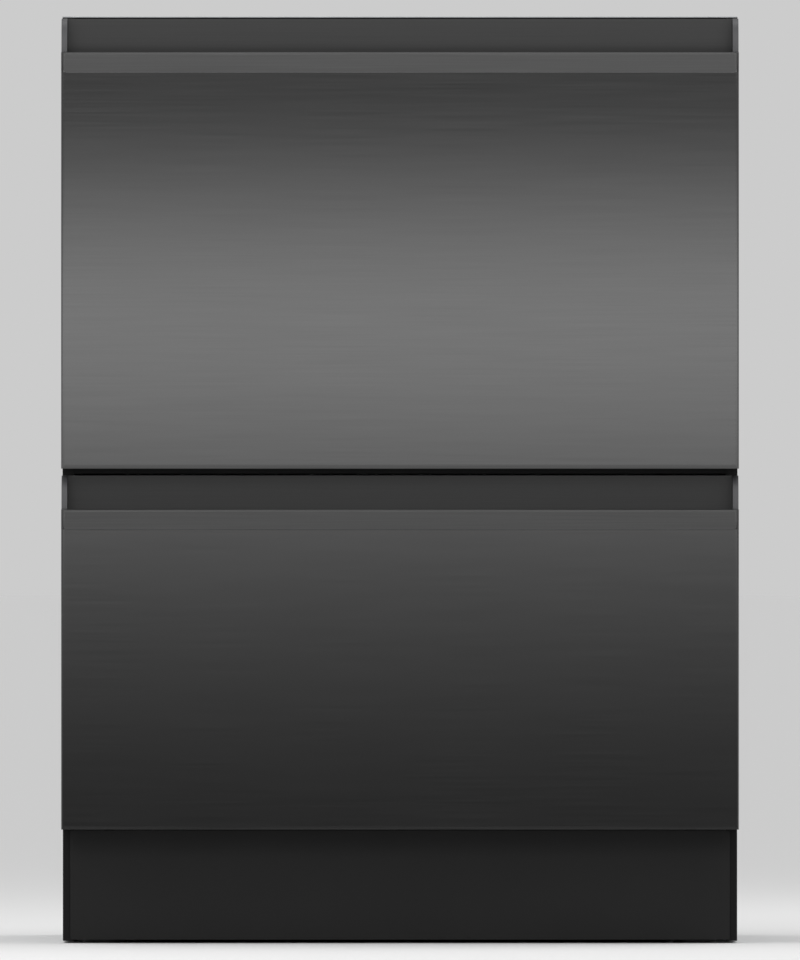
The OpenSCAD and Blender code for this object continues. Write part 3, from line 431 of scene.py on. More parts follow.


# Each finish: its name, two colours, roughness, metallic share, then grain and bump in millimetres
# The fronts' lip, in front of lip_y, is paled by a painted highlight
BLACK_STEEL = BrushedSteel("black_stainless_brushed", "#454545", "#4c4c4c", 0.12, 1.0, 0.6, 0.0015,
                           lip_y=-0.28452)
# The recess's steel is the fronts' steel drawn darker: painted shade in the recess
SHADED_RECESS_STEEL = BrushedSteel("black_stainless_recess_painted_shade", "#3a3a3a", "#414141", 0.50, 1.0, 0.6, 0.0015)
FILTER_STEEL = BrushedSteel("stainless_perforated", "#aeb0b1", "#c2c4c5", 0.28, 1.0, 0.6, 0.003)
SLIDE_STEEL = BrushedSteel("zinc_plated_slide", "#a4a8ab", "#bbbec0", 0.26, 1.0, 0.6, 0.003, along=Along.Y)
# The chassis's front edges are black: painted shade that keeps the gaps between the fronts dark
ZINC_WITH_PAINTED_SHADE = ZincWithPaintedShade("galvanised_sheet_painted_shade_mouth", "#939597", "#a1a3a5", 0.42, 1.0, 7.0, 0.01)
ZINC = ZincSteel("galvanised_sheet", "#939597", "#a1a3a5", 0.42, 1.0, 7.0, 0.01)
PALE_PLASTIC = MouldedPlastic("polypropylene_light_grey", "#c0c2c4", "#b9bbbd", 0.42, 0.0, 0.7, 0.03)
LID_PLASTIC = MouldedPlastic("polypropylene_lid_grey", "#c9cbcc", "#c1c3c5", 0.45, 0.0, 0.7, 0.03)
SPRAY_PLASTIC = MouldedPlastic("polypropylene_spray_grey", "#b4b6b9", "#abadb0", 0.38, 0.0, 0.6, 0.02)
CUP_PLASTIC = MouldedPlastic("polypropylene_filter_white", "#dcdedf", "#d2d4d6", 0.40, 0.0, 0.6, 0.02)
TRIM_PLASTIC = MouldedPlastic("abs_dark_trim", "#3c3c3e", "#38383a", 0.42, 0.0, 0.5, 0.02)
DECK_PLASTIC = MouldedPlastic("abs_black_deck", "#222325", "#1f2022", 0.32, 0.0, 0.4, 0.01)
KEY_PLASTIC = MouldedPlastic("abs_satin_key", "#8d8f92", "#97999b", 0.28, 0.0, 0.4, 0.006)
LINER_PLASTIC = MouldedPlastic("polypropylene_black_liner", "#2a2b2d", "#242527", 0.50, 0.0, 0.8, 0.03)
PUMP_PLASTIC = MouldedPlastic("glass_filled_pump_housing", "#37383a", "#303133", 0.52, 0.0, 0.9, 0.04)
ACTUATOR_PLASTIC = MouldedPlastic("acetal_black_housing", "#2c2d2f", "#262729", 0.46, 0.0, 0.7, 0.02)
FOOT_PLASTIC = MouldedPlastic("nylon_black_foot", "#333334", "#2b2b2c", 0.50, 0.0, 0.8, 0.03)
BASKET_PLASTIC = MouldedPlastic("polypropylene_basket_grey", "#6a6d70", "#626568", 0.42, 0.0, 0.6, 0.02)
DISPENSER_PLASTIC = MouldedPlastic("polypropylene_dispenser", "#7d8083", "#75787b", 0.38, 0.0, 0.6, 0.02)
FLAP_PLASTIC = MouldedPlastic("polypropylene_flap", "#96999c", "#8e9194", 0.34, 0.0, 0.5, 0.015)
MODULE_PLASTIC = MouldedPlastic("abs_module_grey", "#4b4d50", "#444649", 0.48, 0.0, 0.8, 0.03)
VALVE_PLASTIC = MouldedPlastic("nylon_white_valve", "#e2e3e1", "#d8d9d6", 0.36, 0.0, 0.6, 0.015)
JOINER_PLASTIC = MouldedPlastic("polypropylene_joiner", "#55575a", "#4d4f52", 0.46, 0.0, 0.8, 0.03)
RACK_COAT = PowderCoat("nylon_coated_wire", "#85888b", "#7d8083", 0.36, 0.0, 1.6, 0.02)
CUP_COAT = PowderCoat("nylon_coated_cup_wire", "#7a7d80", "#737679", 0.36, 0.0, 1.6, 0.02)
TOE_COAT = PowderCoat("powder_coated_toe_panel", "#111111", "#0f0f0f", 0.40, 0.0, 1.6, 0.008, ior=1.33)
SEAL_RUBBER = MouldedRubber("epdm_seal", "#2e2f30", "#454647", 0.66, 0.0, 0.6, 0.02)
FLOOR_PAPER = PaleFloor("studio_paper", "#e2e2e2", "#dfdfdf", 0.9, 0.0, 2.0, 0.02)


class Paints:
    """Builds each finish once and hands out its material."""

    def __init__(self) -> None:
        """Starts with nothing built."""
        self.built: dict[str, Material] = {}

    def get(self, finish: Finish) -> Material:
        """Gives the finish's material, built on first use.

        Args:
            finish: the finish to look up.

        Returns:
            Its material.
        """
        if finish.name not in self.built:
            self.built[finish.name] = finish.build()
        return self.built[finish.name]


PAINTS = Paints()


# ======== pieces ========

# Points nearer than this are one, in metres, and faces that meet flatter than this are one, in degrees
MERGE_DISTANCE = 2e-6
FLAT_DEG = 0.4
# How exactly a point has to lie beside a bend's centre and on its arc, in millimetres
BESIDE_CENTRE = 1e-3
ON_ARC = 1e-2


@dataclass(frozen=True)
class Edge:
    """How the edges of a part are finished: the round's width and the angle that counts as sharp."""

    round_mm: float = 0.35
    segments: int = 2
    sharp_deg: float = 34.0


@dataclass(frozen=True)
class Bend:
    """A sheet's bend seen from the side, in millimetres: its centre, its radius, and up or down."""

    y: float
    z: float
    radius: float
    up: int
    tightness: float = 0.92

    def tighten(self, mesh: bpy.types.Mesh) -> None:
        """Draws the bend tighter: its points move out along their rays, almost to the square corner.

        Args:
            mesh: the sheet, in metres; its bend faces the front.
        """
        points = np.empty(len(mesh.vertices) * 3)
        mesh.vertices.foreach_get("co", points)
        points = points.reshape(-1, 3)
        arm = points[:, 1:] / MM - (self.y, self.z)
        longest = np.abs(arm).max(axis=1)
        inside = ((arm[:, 0] < -BESIDE_CENTRE) & (self.up * arm[:, 1] > BESIDE_CENTRE)
                  & (longest < self.radius + ON_ARC))
        reach = np.linalg.norm(arm[inside], axis=1) / longest[inside] - 1
        points[inside, 1:] += arm[inside] * (self.tightness * reach)[:, None] * MM
        mesh.vertices.foreach_set("co", points.ravel())


FOLDED = Edge(0.0)
PRESSED = Edge(0.25, 2)
MOULDED = Edge(0.6, 3)
FINE = Edge(0.15, 1)


def finish_piece(obj: Object, body: str, material: Material, nodes: Iterable[str]) -> None:
    """Gives a piece its material, its body and the nodes that it stands for.

    Args:
        obj: the piece, in place.
        body: the body that it rides on.
        material: its material.
        nodes: the nodes that it replaces.
    """
    obj.data.materials.clear()
    obj.data.materials.append(material)
    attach(obj, body)
    if nodes:
        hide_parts(*nodes)
    LOG.info("%s on %s", obj.name, body)


def refined(node: str, name: str, edge: Edge, bend: Optional[Bend] = None) -> Object:
    """Copies a node's mesh, joins its loose triangles, and rounds and shades its edges.

    Args:
        node: the node to copy.
        name: the new piece's name.
        edge: how its edges are finished.
        bend: a bend to draw tighter, if any.

    Returns:
        The new piece, without a material yet.
    """
    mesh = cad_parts[node].data.copy()
    mesh.name = name
    if bend:
        bend.tighten(mesh)
    work = bmesh.new()
    work.from_mesh(mesh)
    bmesh.ops.remove_doubles(work, verts=work.verts, dist=MERGE_DISTANCE)
    bmesh.ops.dissolve_limit(work, angle_limit=math.radians(FLAT_DEG), verts=work.verts, edges=work.edges)
    limit = math.radians(edge.sharp_deg)
    for line in work.edges:
        line.smooth = line.calc_face_angle(math.pi) < limit
    for face in work.faces:
        face.smooth = True
    work.to_mesh(mesh)
    work.free()
    obj = bpy.data.objects.new(name, mesh)
    bpy.context.scene.collection.objects.link(obj)
    if edge.round_mm > 0:
        bevel = obj.modifiers.new("rounded_edges", "BEVEL")
        bevel.width = edge.round_mm * MM
        bevel.segments = edge.segments
        bevel.limit_method = "ANGLE"
        bevel.angle_limit = limit
        bevel.use_clamp_overlap = True
        bevel.harden_normals = False
    weighted = obj.modifiers.new("even_shading", "WEIGHTED_NORMAL")
    weighted.keep_sharp = True
    return obj


def piece_from(name: str, points: Array, faces: Array, smooth: bool = True) -> Object:
    """Makes an object from arrays.

    Args:
        name: the piece's name.
        points: (n, 3) in metres.
        faces: (m, 4) or (m, 3) vertex numbers.
        smooth: whether its faces are shaded smooth.

    Returns:
        The new piece.
    """
    mesh = bpy.data.meshes.new(name)
    mesh.from_pydata(points.tolist(), [], faces.tolist())
    mesh.polygons.foreach_set("use_smooth", np.full(len(mesh.polygons), smooth))
    mesh.update()
    obj = bpy.data.objects.new(name, mesh)
    bpy.context.scene.collection.objects.link(obj)
    return obj


# ======== the levels' own heights ========

# The rack's floor wires over the tub's floor, in millimetres
RACK_LIFT = 42.0


@dataclass(frozen=True)
class Level:
    """One drawer's heights, in millimetres above the floor, and its name."""

    name: str
    front_top: float
    front_bottom: float
    tub_floor: float

    @property
    def rack_z(self) -> float:
        """Height of the rack's floor wires.

        Returns:
            Millimetres above the floor.
        """
        return self.tub_floor + RACK_LIFT

    @property
    def drawer(self) -> str:
        """Name of the drawer's body.

        Returns:
            The name as the frame has it.
        """
        return f"{self.name}_drawer"


UPPER = Level("upper", front_top=818.0, front_bottom=420.0, tub_floor=469.0)
LOWER = Level("lower", front_top=414.0, front_bottom=101.0, tub_floor=150.2)


# ======== wire work ========

# Sides of a wire, of a tine, of a shelf's cross wire and of its pivot; steps of an arc and of a full turn
WIRE_SIDES = 12
TINE_SIDES = 8
CROSS_SIDES = 10
PIVOT_SIDES = 16
ARC_STEPS = 9
TURN_STEPS = 24
# The shelves' pivots from the middle and over the rack's floor, and the clips along them, in millimetres
SHELF_PIVOT_X = 233.0
SHELF_PIVOT_Z = 81.0
CLIP_YS = (-87.0, 147.0)
# A rack foot's heights over the rack's floor, with its radius at each, in millimetres
FOOT_PROFILE = np.array([[-33.2, 5.2], [-32.2, 6.0], [-26.0, 5.2], [-16.0, 4.6], [-8.0, 5.2], [-6.0, 5.6]])


def tube(path: Array, plane: Sequence[float], radius: float, sides: int = WIRE_SIDES,
         closed: bool = False) -> Surface:
    """Carries a circle along a flat path: at each point the ring lies square to the path's direction.

    Args:
        path: (n, 3) centre points in metres, all in one plane.
        plane: that plane's normal.
        radius: the wire's radius in metres.
        sides: points of each ring.
        closed: whether the path closes on itself.

    Returns:
        Points and faces, with closed ends.
    """
    n = len(path)
    if closed:
        ahead, behind = np.roll(path, -1, axis=0), np.roll(path, 1, axis=0)
    else:
        ahead = np.vstack([path[1:], 2 * path[-1:] - path[-2:-1]])
        behind = np.vstack([2 * path[:1] - path[1:2], path[:-1]])
    along = ahead - behind
    along /= np.linalg.norm(along, axis=1, keepdims=True)
    up = np.broadcast_to(np.asarray(plane, float), along.shape)
    side = np.cross(up, along)
    turn = np.linspace(0, 2 * math.pi, sides, endpoint=False)
    ring = (side[:, None] * np.cos(turn)[None, :, None] + up[:, None] * np.sin(turn)[None, :, None]) * radius
    points = (path[:, None] + ring).reshape(-1, 3)
    rows = np.arange(n if closed else n - 1)[:, None]
    cols = np.arange(sides)[None, :]
    next_row, next_col = (rows + 1) % n, (cols + 1) % sides
    quads = np.stack([rows * sides + cols, rows * sides + next_col,
                      next_row * sides + next_col, next_row * sides + cols], axis=-1).reshape(-1, 4)
    if not closed:
        half = np.arange(0, sides // 2 - 1)
        start = np.stack([half * 0 + half, half + 1, sides - 2 - half, sides - 1 - half], axis=-1)
        last = (n - 1) * sides
        quads = np.vstack([quads, start[:, ::-1], last + start])
    return points, quads[:, ::-1]


def bent_path(corners: Array, radius: float, steps: int = 8) -> Array:
    """Rounds a polyline's inner corners: each is replaced by points on the circle that touches both legs.

    Args:
        corners: (n, 3) corner points in metres.
        radius: bend radius.
        steps: points per bend.

    Returns:
        The rounded path.
    """
    before, at, after = corners[:-2], corners[1:-1], corners[2:]
    u = (before - at) / np.linalg.norm(before - at, axis=1, keepdims=True)
    v = (after - at) / np.linalg.norm(after - at, axis=1, keepdims=True)
    half = np.arccos(np.clip((u * v).sum(1), -1, 1)) / 2
    reach = (radius / np.tan(half))[:, None]
    middle = (u + v) / np.linalg.norm(u + v, axis=1, keepdims=True)
    centre = at + middle * (radius / np.sin(half))[:, None]
    start, end = at + u * reach - centre, at + v * reach - centre
    share = np.linspace(0, 1, steps)[None, :, None]
    swept = (math.pi - 2 * half)[:, None, None]
    arcs = (np.sin((1 - share) * swept) * start[:, None]
            + np.sin(share * swept) * end[:, None]) / np.sin(swept)
    return np.vstack([corners[:1], (centre[:, None] + arcs).reshape(-1, 3), corners[-1:]])


def joined(parts: Sequence[Surface]) -> Surface:
    """Puts several meshes into one pair of arrays.

    Args:
        parts: points and faces of each mesh.

    Returns:
        Points and faces of them all.
    """
    counts = np.cumsum([0] + [len(p) for p, _ in parts[:-1]])
    return (np.vstack([p for p, _ in parts]),
            np.vstack([f + c for (_, f), c in zip(parts, counts)]))


@dataclass
class WireRack:
    """A basket of welded wire: two layers of bent wires, a rim, a belt and rows of tines."""

    level: Level
    half_w: float = 245.0
    y0: float = -187.0
    y1: float = 227.0
    height: float = 95.0
    wire: float = 4.0
    rim_wire: float = 6.0
    bend: float = 14.0
    rim_corner: float = 30.0
    rim_up: float = 2.0
    ends_up: float = 0.5
    belt_share: float = 0.52
    weld: float = 0.4
    tine_wire: float = 3.4
    tine_height: float = 60.0
    tine_gauge: float = 10.0
    tines: int = 11
    row_ends: tuple[float, float] = (-95.0, 193.0)
    carrier_z: float = 0.4
    carrier_end: float = 12.0
    foot_inset: tuple[float, float] = (26.0, 30.0)
    long_xs: Array = field(default_factory=lambda: np.linspace(-209, 209, 9))
    cross_ys: Array = field(default_factory=lambda: np.linspace(-151, 191, 8))
    row_xs: tuple[float, ...] = (-130.625, -26.125, 78.375)

    def u_wire(self, at: float, across: bool, low: float) -> Surface:
        """A wire that runs up one side, over the floor and up the other side.

        Args:
            at: its place along the other axis.
            across: whether it runs from side to side.
            low: height of its floor run over the rack's floor.

        Returns:
            Points and faces.
        """
        top = self.height + self.ends_up
        if across:
            x = self.half_w
            flat = np.array([[-x, at, top], [-x, at, low], [x, at, low], [x, at, top]])
            plane = (0, 1, 0)
        else:
            flat = np.array([[at, self.y0, top], [at, self.y0, low], [at, self.y1, low], [at, self.y1, top]])
            plane = (1, 0, 0)
        return tube(bent_path(flat * MM, self.bend * MM), plane, self.wire / 2 * MM)

    def loop(self, inset: float, z: float, diameter: float) -> Surface:
        """A closed wire round the rack at one height.

        Args:
            inset: how far inside the basket's sides it runs.
            z: height over the rack's floor.
            diameter: of the wire.

        Returns:
            Points and faces.
        """
        r = self.rim_corner
        x, mid = self.half_w - inset - r, (self.y0 + self.y1) / 2
        y = (self.y1 - self.y0) / 2 - inset - r
        turn = np.linspace(0, math.pi / 2, ARC_STEPS)
        signs = np.array([[1, 1], [-1, 1], [-1, -1], [1, -1]])
        start = np.array([0, 1, 2, 3]) * math.pi / 2
        angle = (start[:, None] + turn[None, :]).ravel()
        centre = np.repeat(signs * [x, y], len(turn), axis=0)
        path = np.column_stack([centre[:, 0] + r * np.cos(angle), mid + centre[:, 1] + r * np.sin(angle),
                                np.full(len(angle), z)])
        return tube(path * MM, (0, 0, 1), diameter / 2 * MM, closed=True)

    def tine(self, x: float, y: float) -> Surface:
        """A hairpin of wire that stands on its carrier.

        Args:
            x: its row.
            y: its place in the row.

        Returns:
            Points and faces.
        """
        g = self.tine_gauge / 2
        turn = np.linspace(0, math.pi, ARC_STEPS)
        path = np.vstack([[[x, y + g, self.carrier_z]],
                          np.column_stack([np.full(len(turn), x), y + g * np.cos(turn),
                                           self.tine_height - g + g * np.sin(turn)]),
                          [[x, y - g, self.carrier_z]]])
        return tube(path * MM, (1, 0, 0), self.tine_wire / 2 * MM, TINE_SIDES)

    def row(self, x: float) -> list[Surface]:
        """A row of tines on its carrier bar.

        Args:
            x: its place across.

        Returns:
            Points and faces of the bar and of each tine.
        """
        ys = np.linspace(*self.row_ends, self.tines)
        bar = np.array([[x, ys[0] - self.carrier_end, self.carrier_z],
                        [x, ys[-1] + self.carrier_end, self.carrier_z]])
        return ([tube(bar * MM, (1, 0, 0), self.tine_wire / 2 * MM, TINE_SIDES)]
                + [self.tine(x, y) for y in ys])

    def build(self) -> None:
        """Makes the basket as one piece, and its clips and feet as another."""
        over = self.wire - self.weld
        parts = [self.u_wire(y, True, -over) for y in self.cross_ys]
        parts += [self.u_wire(x, False, 0.0) for x in self.long_xs]
        parts.append(self.loop(0.0, self.height + self.rim_up, self.rim_wire))
        parts.append(self.loop(over, self.height * self.belt_share, self.wire))
        for x in self.row_xs:
            parts += self.row(x)
        points, faces = joined(parts)
        points[:, 2] += self.level.rack_z * MM
        node = f"{self.level.name}_dish_rack"
        obj = piece_from(f"{self.level.name}_plate_basket", points, faces)
        finish_piece(obj, self.level.drawer, PAINTS.get(RACK_COAT), [node])
        self.fittings()

    def fittings(self) -> None:
        """Clips that hold the cup shelves' pivots, and moulded feet with a round waist."""
        clips = []
        turn = np.linspace(0, 2 * math.pi, TURN_STEPS, endpoint=False)
        heights, radii = FOOT_PROFILE.T
        in_x, in_y = self.foot_inset
        for sx in (-1, 1):
            for y in (self.y0 + in_y, self.y1 - in_y):
                clips.append(self.revolved(sx * (self.half_w - in_x), y, heights, radii, turn))
            for y in CLIP_YS:
                clips.append(self.clip(sx, y, turn))
        points, faces = joined(clips)
        points[:, 2] += self.level.rack_z * MM
        obj = piece_from(f"{self.level.name}_rack_fittings", points, faces)
        finish_piece(obj, self.level.drawer, PAINTS.get(BASKET_PLASTIC), [])

    @staticmethod
    def revolved(x: float, y: float, heights: Array, radii: Array, turn: Array) -> Surface:
        """A profile of radius over height, turned about an upright axis.

        Args:
            x: the axis's place across.
            y: the axis's place front to back.
            heights: the profile's heights in millimetres.
            radii: its radii.
            turn: the angles.

        Returns:
            Points and faces, with closed ends.
        """
        n = len(turn)
        ring = np.stack([x + radii[:, None] * np.cos(turn), y + radii[:, None] * np.sin(turn),
                         np.repeat(heights[:, None], n, axis=1)], axis=-1).reshape(-1, 3)
        rows, cols = np.arange(len(heights) - 1)[:, None], np.arange(n)[None, :]
        faces = np.stack([rows * n + cols, rows * n + (cols + 1) % n,
                          (rows + 1) * n + (cols + 1) % n, (rows + 1) * n + cols], axis=-1).reshape(-1, 4)
        half = np.arange(n // 2 - 1)
        low = np.stack([half, n - 1 - half, n - 2 - half, half + 1], axis=-1)
        return ring * MM, np.vstack([faces, low, (len(heights) - 1) * n + low[:, ::-1]])

    @staticmethod
    def clip(sx: int, y: float, turn: Array) -> Surface:
        """An eyelet round a cup shelf's pivot: a ring section carried round the axis.

        Args:
            sx: the side, -1 or 1.
            y: its place front to back.
            turn: the angles.

        Returns:
            Points and faces.
        """
        n = len(turn)
        inner, outer, half, cut = 2.8, 6.4, 5.5, 0.6
        section = np.array([[inner, -half], [inner, half], [outer - cut, half], [outer, half - cut],
                            [outer, -half + cut], [outer - cut, -half]])
        m = len(section)
        x = sx * SHELF_PIVOT_X
        ring = np.stack([x + section[None, :, 0] * np.cos(turn)[:, None],
                         np.repeat((y + section[:, 1])[None, :], n, axis=0),
                         SHELF_PIVOT_Z + section[None, :, 0] * np.sin(turn)[:, None]],
                        axis=-1).reshape(-1, 3)
        rows, cols = np.arange(n)[:, None], np.arange(m)[None, :]
        faces = np.stack([rows * m + cols, rows * m + (cols + 1) % m,
                          (rows + 1) % n * m + (cols + 1) % m, (rows + 1) % n * m + cols], axis=-1)
        return ring * MM, faces.reshape(-1, 4)[:, ::-1]


@dataclass
class CupShelf:
    """A folding shelf of wire on a round pivot."""

    level: Level
    side: int
    y0: float = -117.0
    y1: float = 177.0
    reach: float = 80.0
    corner: float = 12.0
    wire: float = 4.0
    pivot_wire: float = 5.0
    cross_wire: float = 3.4
    frame_inset: float = 1.9
    cross_inset: float = 2.0
    cross_places: int = 9
    clip_room: float = 9.0

    def build(self) -> None:
        """Makes the pivot, a bent frame, two wires along it, and cross wires that keep clear of the clips."""
        z = SHELF_PIVOT_Z
        outer, inner = SHELF_PIVOT_X, SHELF_PIVOT_X - self.reach
        low, high = self.y0 + self.frame_inset, self.y1 - self.frame_inset
        bent = np.array([[outer, low, z], [inner, low, z], [inner, high, z], [outer, high, z]])
        parts = [tube(bent_path(bent * MM, self.corner * MM), (0, 0, 1), self.wire / 2 * MM)]
        pivot = np.array([[outer, self.y0, z], [outer, self.y1, z]])
        parts.append(tube(pivot * MM, (0, 0, 1), self.pivot_wire / 2 * MM, PIVOT_SIDES))
        for x in (inner + self.reach / 3, inner + 2 * self.reach / 3):
            run = np.array([[x, low, z], [x, high, z]])
            parts.append(tube(run * MM, (0, 0, 1), self.wire / 2 * MM))
        places = np.linspace(self.y0 + self.cross_inset, self.y1 - self.cross_inset, self.cross_places)
        for y in places[1:-1]:
            if min(abs(y - at) for at in CLIP_YS) > self.clip_room:
                run = np.array([[inner, y, z], [outer, y, z]])
                parts.append(tube(run * MM, (0, 0, 1), self.cross_wire / 2 * MM, CROSS_SIDES))
        points, faces = joined(parts)
        points[:, 0] *= self.side
        points[:, 2] += self.level.rack_z * MM
        if self.side < 0:
            faces = faces[:, ::-1]
        word = "left" if self.side < 0 else "right"
        obj = piece_from(f"{self.level.name}_{word}_cup_shelf", points, faces)
        finish_piece(obj, f"{self.level.name}_{word}_shelf", PAINTS.get(CUP_COAT),
                     [f"{self.level.name}_cup_rack_{word}"])


# ======== sub-assemblies ========

# Outer radius of the sheets' folds, and the centres of the two that are drawn tighter, in millimetres
FOLD_RADIUS = 4.0
SKIN_FOLD_Y = -280.5
STRIP_FOLD_Y = -255.5


@dataclass
class Part:
    """One node's dressed copy: its names, body, slot, finish and edges."""

    node: str
    name: str
    body: str
    slot: str
    finish: Finish
    edge: Edge = MOULDED
    bend: Optional[Bend] = None

    def build(self) -> None:
        """Makes the copy and dresses it."""
        obj = refined(self.node, self.name, self.edge, self.bend)
        finish_piece(obj, self.body, PAINTS.get(self.finish), [self.node])


@dataclass
class Drawer:
    """A drawer with its front, tub, wash system and racks."""

    level: Level

    def parts(self) -> list[Part]:
        """Lists the drawer's rigid parts.

        Returns:
            One entry for each node that is copied.
        """
        n, body = self.level.name, self.level.drawer
        rows = [
            ("front_panel", "front_skin", body, "black_steel", BLACK_STEEL, FOLDED),
            ("handle_recess", "handle_trough", body, "recess_steel", SHADED_RECESS_STEEL, FOLDED),
            ("handle_end_caps", "handle_caps", body, "trim", TRIM_PLASTIC, MOULDED),
            ("front_liner", "front_box", body, "liner", LINER_PLASTIC, MOULDED),
            ("control_deck", "key_deck", body, "deck", DECK_PLASTIC, MOULDED),
            ("power_button", "power_key", f"{n}_power_key", "button", KEY_PLASTIC, FINE),
            ("program_button", "program_key", f"{n}_program_key", "button", KEY_PLASTIC, FINE),
            ("start_button", "start_key", f"{n}_start_key", "button", KEY_PLASTIC, FINE),
            ("tub", "tub_moulding", body, "tub", PALE_PLASTIC, MOULDED),
            ("inner_rails", "slide_inner_members", body, "slide_steel", SLIDE_STEEL, FINE),
            ("mid_rails", "slide_middle_members", f"{n}_slide_members", "slide_steel", SLIDE_STEEL, FINE),
            ("wash_pump", "sump_and_motor", body, "pump", PUMP_PLASTIC, MOULDED),
            ("filter_plate", "filter_sheet", body, "filter_steel", FILTER_STEEL, FINE),
            ("drain_filter", "filter_cup", f"{n}_filter_cup", "filter_cup", CUP_PLASTIC, FINE),
            ("spray_arm", "spray_rotor", f"{n}_spray_rotor", "spray", SPRAY_PLASTIC, MOULDED),
            ("cutlery_basket", "cutlery_holder", body, "basket", BASKET_PLASTIC, PRESSED),
            ("dispenser", "detergent_dispenser", body, "dispenser", DISPENSER_PLASTIC, MOULDED),
            ("dispenser_door", "detergent_flap", f"{n}_flap", "flap", FLAP_PLASTIC, PRESSED),
            ("lid", "sealing_lid", f"{n}_lid_group", "lid", LID_PLASTIC, MOULDED),
            ("lid_seal", "lid_gasket", f"{n}_lid_group", "seal", SEAL_RUBBER, PRESSED),
        ]
        foot, top = self.level.front_bottom + FOLD_RADIUS, self.level.front_top - FOLD_RADIUS
        bends = {"front_panel": Bend(SKIN_FOLD_Y, foot, FOLD_RADIUS, up=-1),
                 "handle_recess": Bend(STRIP_FOLD_Y, top, FOLD_RADIUS, up=1)}
        return [Part(f"{n}_{node}", f"{n}_{name}", on, slot, finish, edge, bends.get(node))
                for node, name, on, slot, finish, edge in rows]

    def build(self) -> None:
        """Builds the drawer's parts, rack and shelves."""
        for part in self.parts():
            part.build()
        WireRack(self.level).build()
        for side in (-1, 1):
            CupShelf(self.level, side).build()


@dataclass
class Chassis:
    """The wrapper of folded sheet with what stays in it, and the feet."""

    def parts(self) -> list[Part]:
        """Lists the chassis's parts.

        Returns:
            One entry for each of its nodes.
        """
        rows = [
            ("chassis_shell", "chassis_wrapper", "chassis", "chassis", ZINC_WITH_PAINTED_SHADE, FOLDED),
            ("base_pan", "drip_pan", "chassis", "chassis", ZINC, PRESSED),
            ("mid_brace", "bay_frames", "chassis", "chassis", ZINC_WITH_PAINTED_SHADE, FINE),
            ("top_sheet", "top_cover", "chassis", "chassis", ZINC, FINE),
            ("kick_panel", "toe_panel", "chassis", "kick", TOE_COAT, FINE),
            ("outer_rails", "slide_outer_members", "chassis", "slide_steel", SLIDE_STEEL, FINE),
            ("lid_actuators", "lid_lift_housings", "chassis", "actuator", ACTUATOR_PLASTIC, MOULDED),
            ("power_module", "electronics_box", "chassis", "module", MODULE_PLASTIC, MOULDED),
            ("water_valve", "inlet_valve", "chassis", "valve", VALVE_PLASTIC, MOULDED),
            ("drain_joiner", "drain_junction", "chassis", "joiner", JOINER_PLASTIC, MOULDED),
        ]
        feet = [(f"foot_{place}", f"levelling_{place}", f"{place}_leveller", "foot", FOOT_PLASTIC, PRESSED)
                for place in ("front_left", "front_right", "rear_left", "rear_right")]
        return [Part(*row) for row in rows + feet]

    def build(self) -> None:
        """Builds the chassis's parts."""
        for part in self.parts():
            part.build()


# ======== studio ========


@dataclass(frozen=True)
class Lamp:
    """A rectangular soft lamp: its place, aim and size in metres, and its watts."""

    name: str
    place: tuple[float, float, float]
    aim: tuple[float, float, float]
    size: tuple[float, float]
    power: float
    mirrored: bool = False

    def hang(self) -> None:
        """Hangs the lamp; the camera never sees it, and gloss only if it is mirrored."""
        data = bpy.data.lights.new(self.name, "AREA")
        data.shape = "RECTANGLE"
        data.size, data.size_y = self.size
        data.energy = self.power
        obj = bpy.data.objects.new(self.name, data)
        obj.location = self.place
        obj.rotation_euler = (Vector(self.aim) - Vector(self.place)).to_track_quat("-Z", "Y").to_euler()
        obj.visible_camera = False
        obj.visible_glossy = self.mirrored
        bpy.context.scene.collection.objects.link(obj)


LAMPS = (Lamp("key_lamp", (-1.6, -2.4, 2.2), (0, 0, 0.4), (1.6, 1.6), 30),
         Lamp("fill_lamp", (2.2, 1.8, 1.8), (0, 0, 0.4), (1.8, 1.8), 15),
         Lamp("top_lamp", (0, -0.2, 2.9), (0, -0.2, 0.4), (2.4, 1.6), 20, mirrored=True))


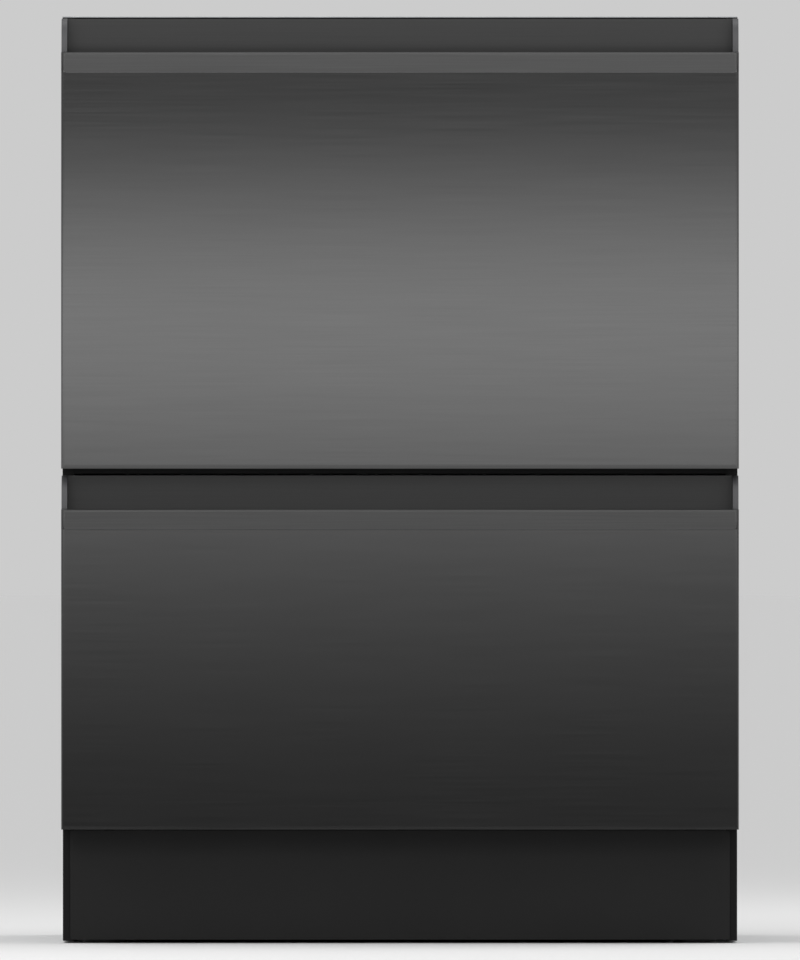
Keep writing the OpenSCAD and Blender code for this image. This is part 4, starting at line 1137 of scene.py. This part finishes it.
@dataclass(frozen=True)
class Studio:
    """Camera, paper floor, pale world, and a soft card in front that metal reflects; in metres."""

    lens_mm: float = 1200.0
    sensor_mm: float = 36.0
    sight: float = 4.0
    frame_height: float = 0.8483
    aim: tuple[float, float] = (0.0, 0.410)
    front_y: float = -0.2845
    floor_half: float = 90.0
    backdrop: str = "#cccccc"
    ambient: float = 0.80
    card_half: float = 2.6
    card_peak: float = 3.0
    card_y: float = -1.45
    card_low: float = -0.2
    card_high: float = 2.2
    card_stops: tuple[tuple[float, float], ...] = (
        (-0.200, 0.200), (0.088, 0.230), (0.191, 0.460), (0.295, 0.820), (0.364, 1.260),
        (0.430, 1.880), (0.504, 2.700), (0.567, 3.000), (0.629, 2.300), (0.691, 1.200), (0.733, 0.620),
        (0.780, 0.300), (0.855, 1.500), (1.080, 1.700), (1.400, 2.000), (2.200, 2.000))

    def camera(self) -> None:
        """Sets a very long lens square to the fronts, so that they show no perspective."""
        data = bpy.data.cameras.new("camera")
        data.type = "PERSP"
        data.lens = self.lens_mm
        data.sensor_width = self.sensor_mm
        distance = self.frame_height * self.lens_mm / data.sensor_width
        obj = bpy.data.objects.new("camera", data)
        obj.location = (self.aim[0], self.front_y - distance, self.aim[1])
        obj.rotation_euler = (math.pi / 2, 0, 0)
        data.clip_end = self.sight * distance
        bpy.context.scene.collection.objects.link(obj)
        bpy.context.scene.camera = obj

    def floor(self) -> None:
        """Lays the paper: a wide sheet under the feet."""
        half = self.floor_half
        corners = np.array([[-half, -half, 0], [half, -half, 0], [half, half, 0], [-half, half, 0]], float)
        obj = piece_from("paper_floor", corners, np.array([[0, 1, 2, 3]]), False)
        obj.data.materials.append(PAINTS.get(FLOOR_PAPER))

    def card(self) -> None:
        """Hangs the soft card that only gloss sees; its light rises and falls with height.

        The levels in card_stops were fitted until the fronts' bands of shade came near the reference's.
        """
        x, y = self.card_half, self.card_y
        corners = np.array([[-x, y, self.card_low], [-x, y, self.card_high],
                            [x, y, self.card_high], [x, y, self.card_low]], float)
        obj = piece_from("gradient_card", corners, np.array([[0, 1, 2, 3]]), False)
        material = bpy.data.materials.new("card_light")
        material.use_nodes = True
        tree = Tree(material.node_tree)
        place = tree.add("TexCoord").outputs["Object"]
        height = tree.add("SeparateXYZ", {"Vector": place}).outputs["Z"]
        share = tree.add("MapRange", {"Value": height, "From Min": self.card_low, "From Max": self.card_high})
        span = self.card_high - self.card_low
        stops = [((z - self.card_low) / span, level / self.card_peak) for z, level in self.card_stops]
        colour = tree.ramp(share.outputs["Result"], stops)
        glow = tree.add("Emission", {"Color": colour, "Strength": self.card_peak})
        tree.add("OutputMaterial", {"Surface": glow.outputs["Emission"]})
        obj.data.materials.append(material)
        obj.visible_camera = obj.visible_diffuse = obj.visible_shadow = False
        obj.visible_transmission = False

    def world(self) -> None:
        """Sets the world: plain light on the object, and a pale grey for the eye and for gloss."""
        world = bpy.data.worlds.new("studio")
        world.use_nodes = True
        bpy.context.scene.world = world
        tree = Tree(world.node_tree)
        ray = tree.add("LightPath").outputs
        seen = tree.add("Math", {0: ray["Is Camera Ray"], 1: ray["Is Glossy Ray"]}, operation="MAXIMUM")
        seen = tree.add("Math", {0: seen.outputs[0], 1: ray["Is Transmission Ray"]}, operation="MAXIMUM")
        light = tree.add("Background", {"Color": (1, 1, 1, 1), "Strength": self.ambient})
        pale = tree.add("Background", {"Color": linear(self.backdrop), "Strength": 1.0})
        mixed = tree.add("MixShader", {0: seen.outputs[0], 1: light.outputs[0], 2: pale.outputs[0]})
        tree.add("OutputWorld", {"Surface": mixed.outputs[0]})

    def build(self) -> None:
        """Sets up the whole studio."""
        self.camera()
        self.floor()
        self.card()
        self.world()
        for lamp in LAMPS:
            lamp.hang()
        bpy.context.scene.view_settings.view_transform = "Standard"


def main() -> None:
    """Builds the studio, the chassis and both drawers."""
    logging.basicConfig(level=logging.INFO, format="%(message)s")
    Studio().build()
    Chassis().build()
    for level in (UPPER, LOWER):
        Drawer(level).build()


if __name__ == "__main__":
    main()
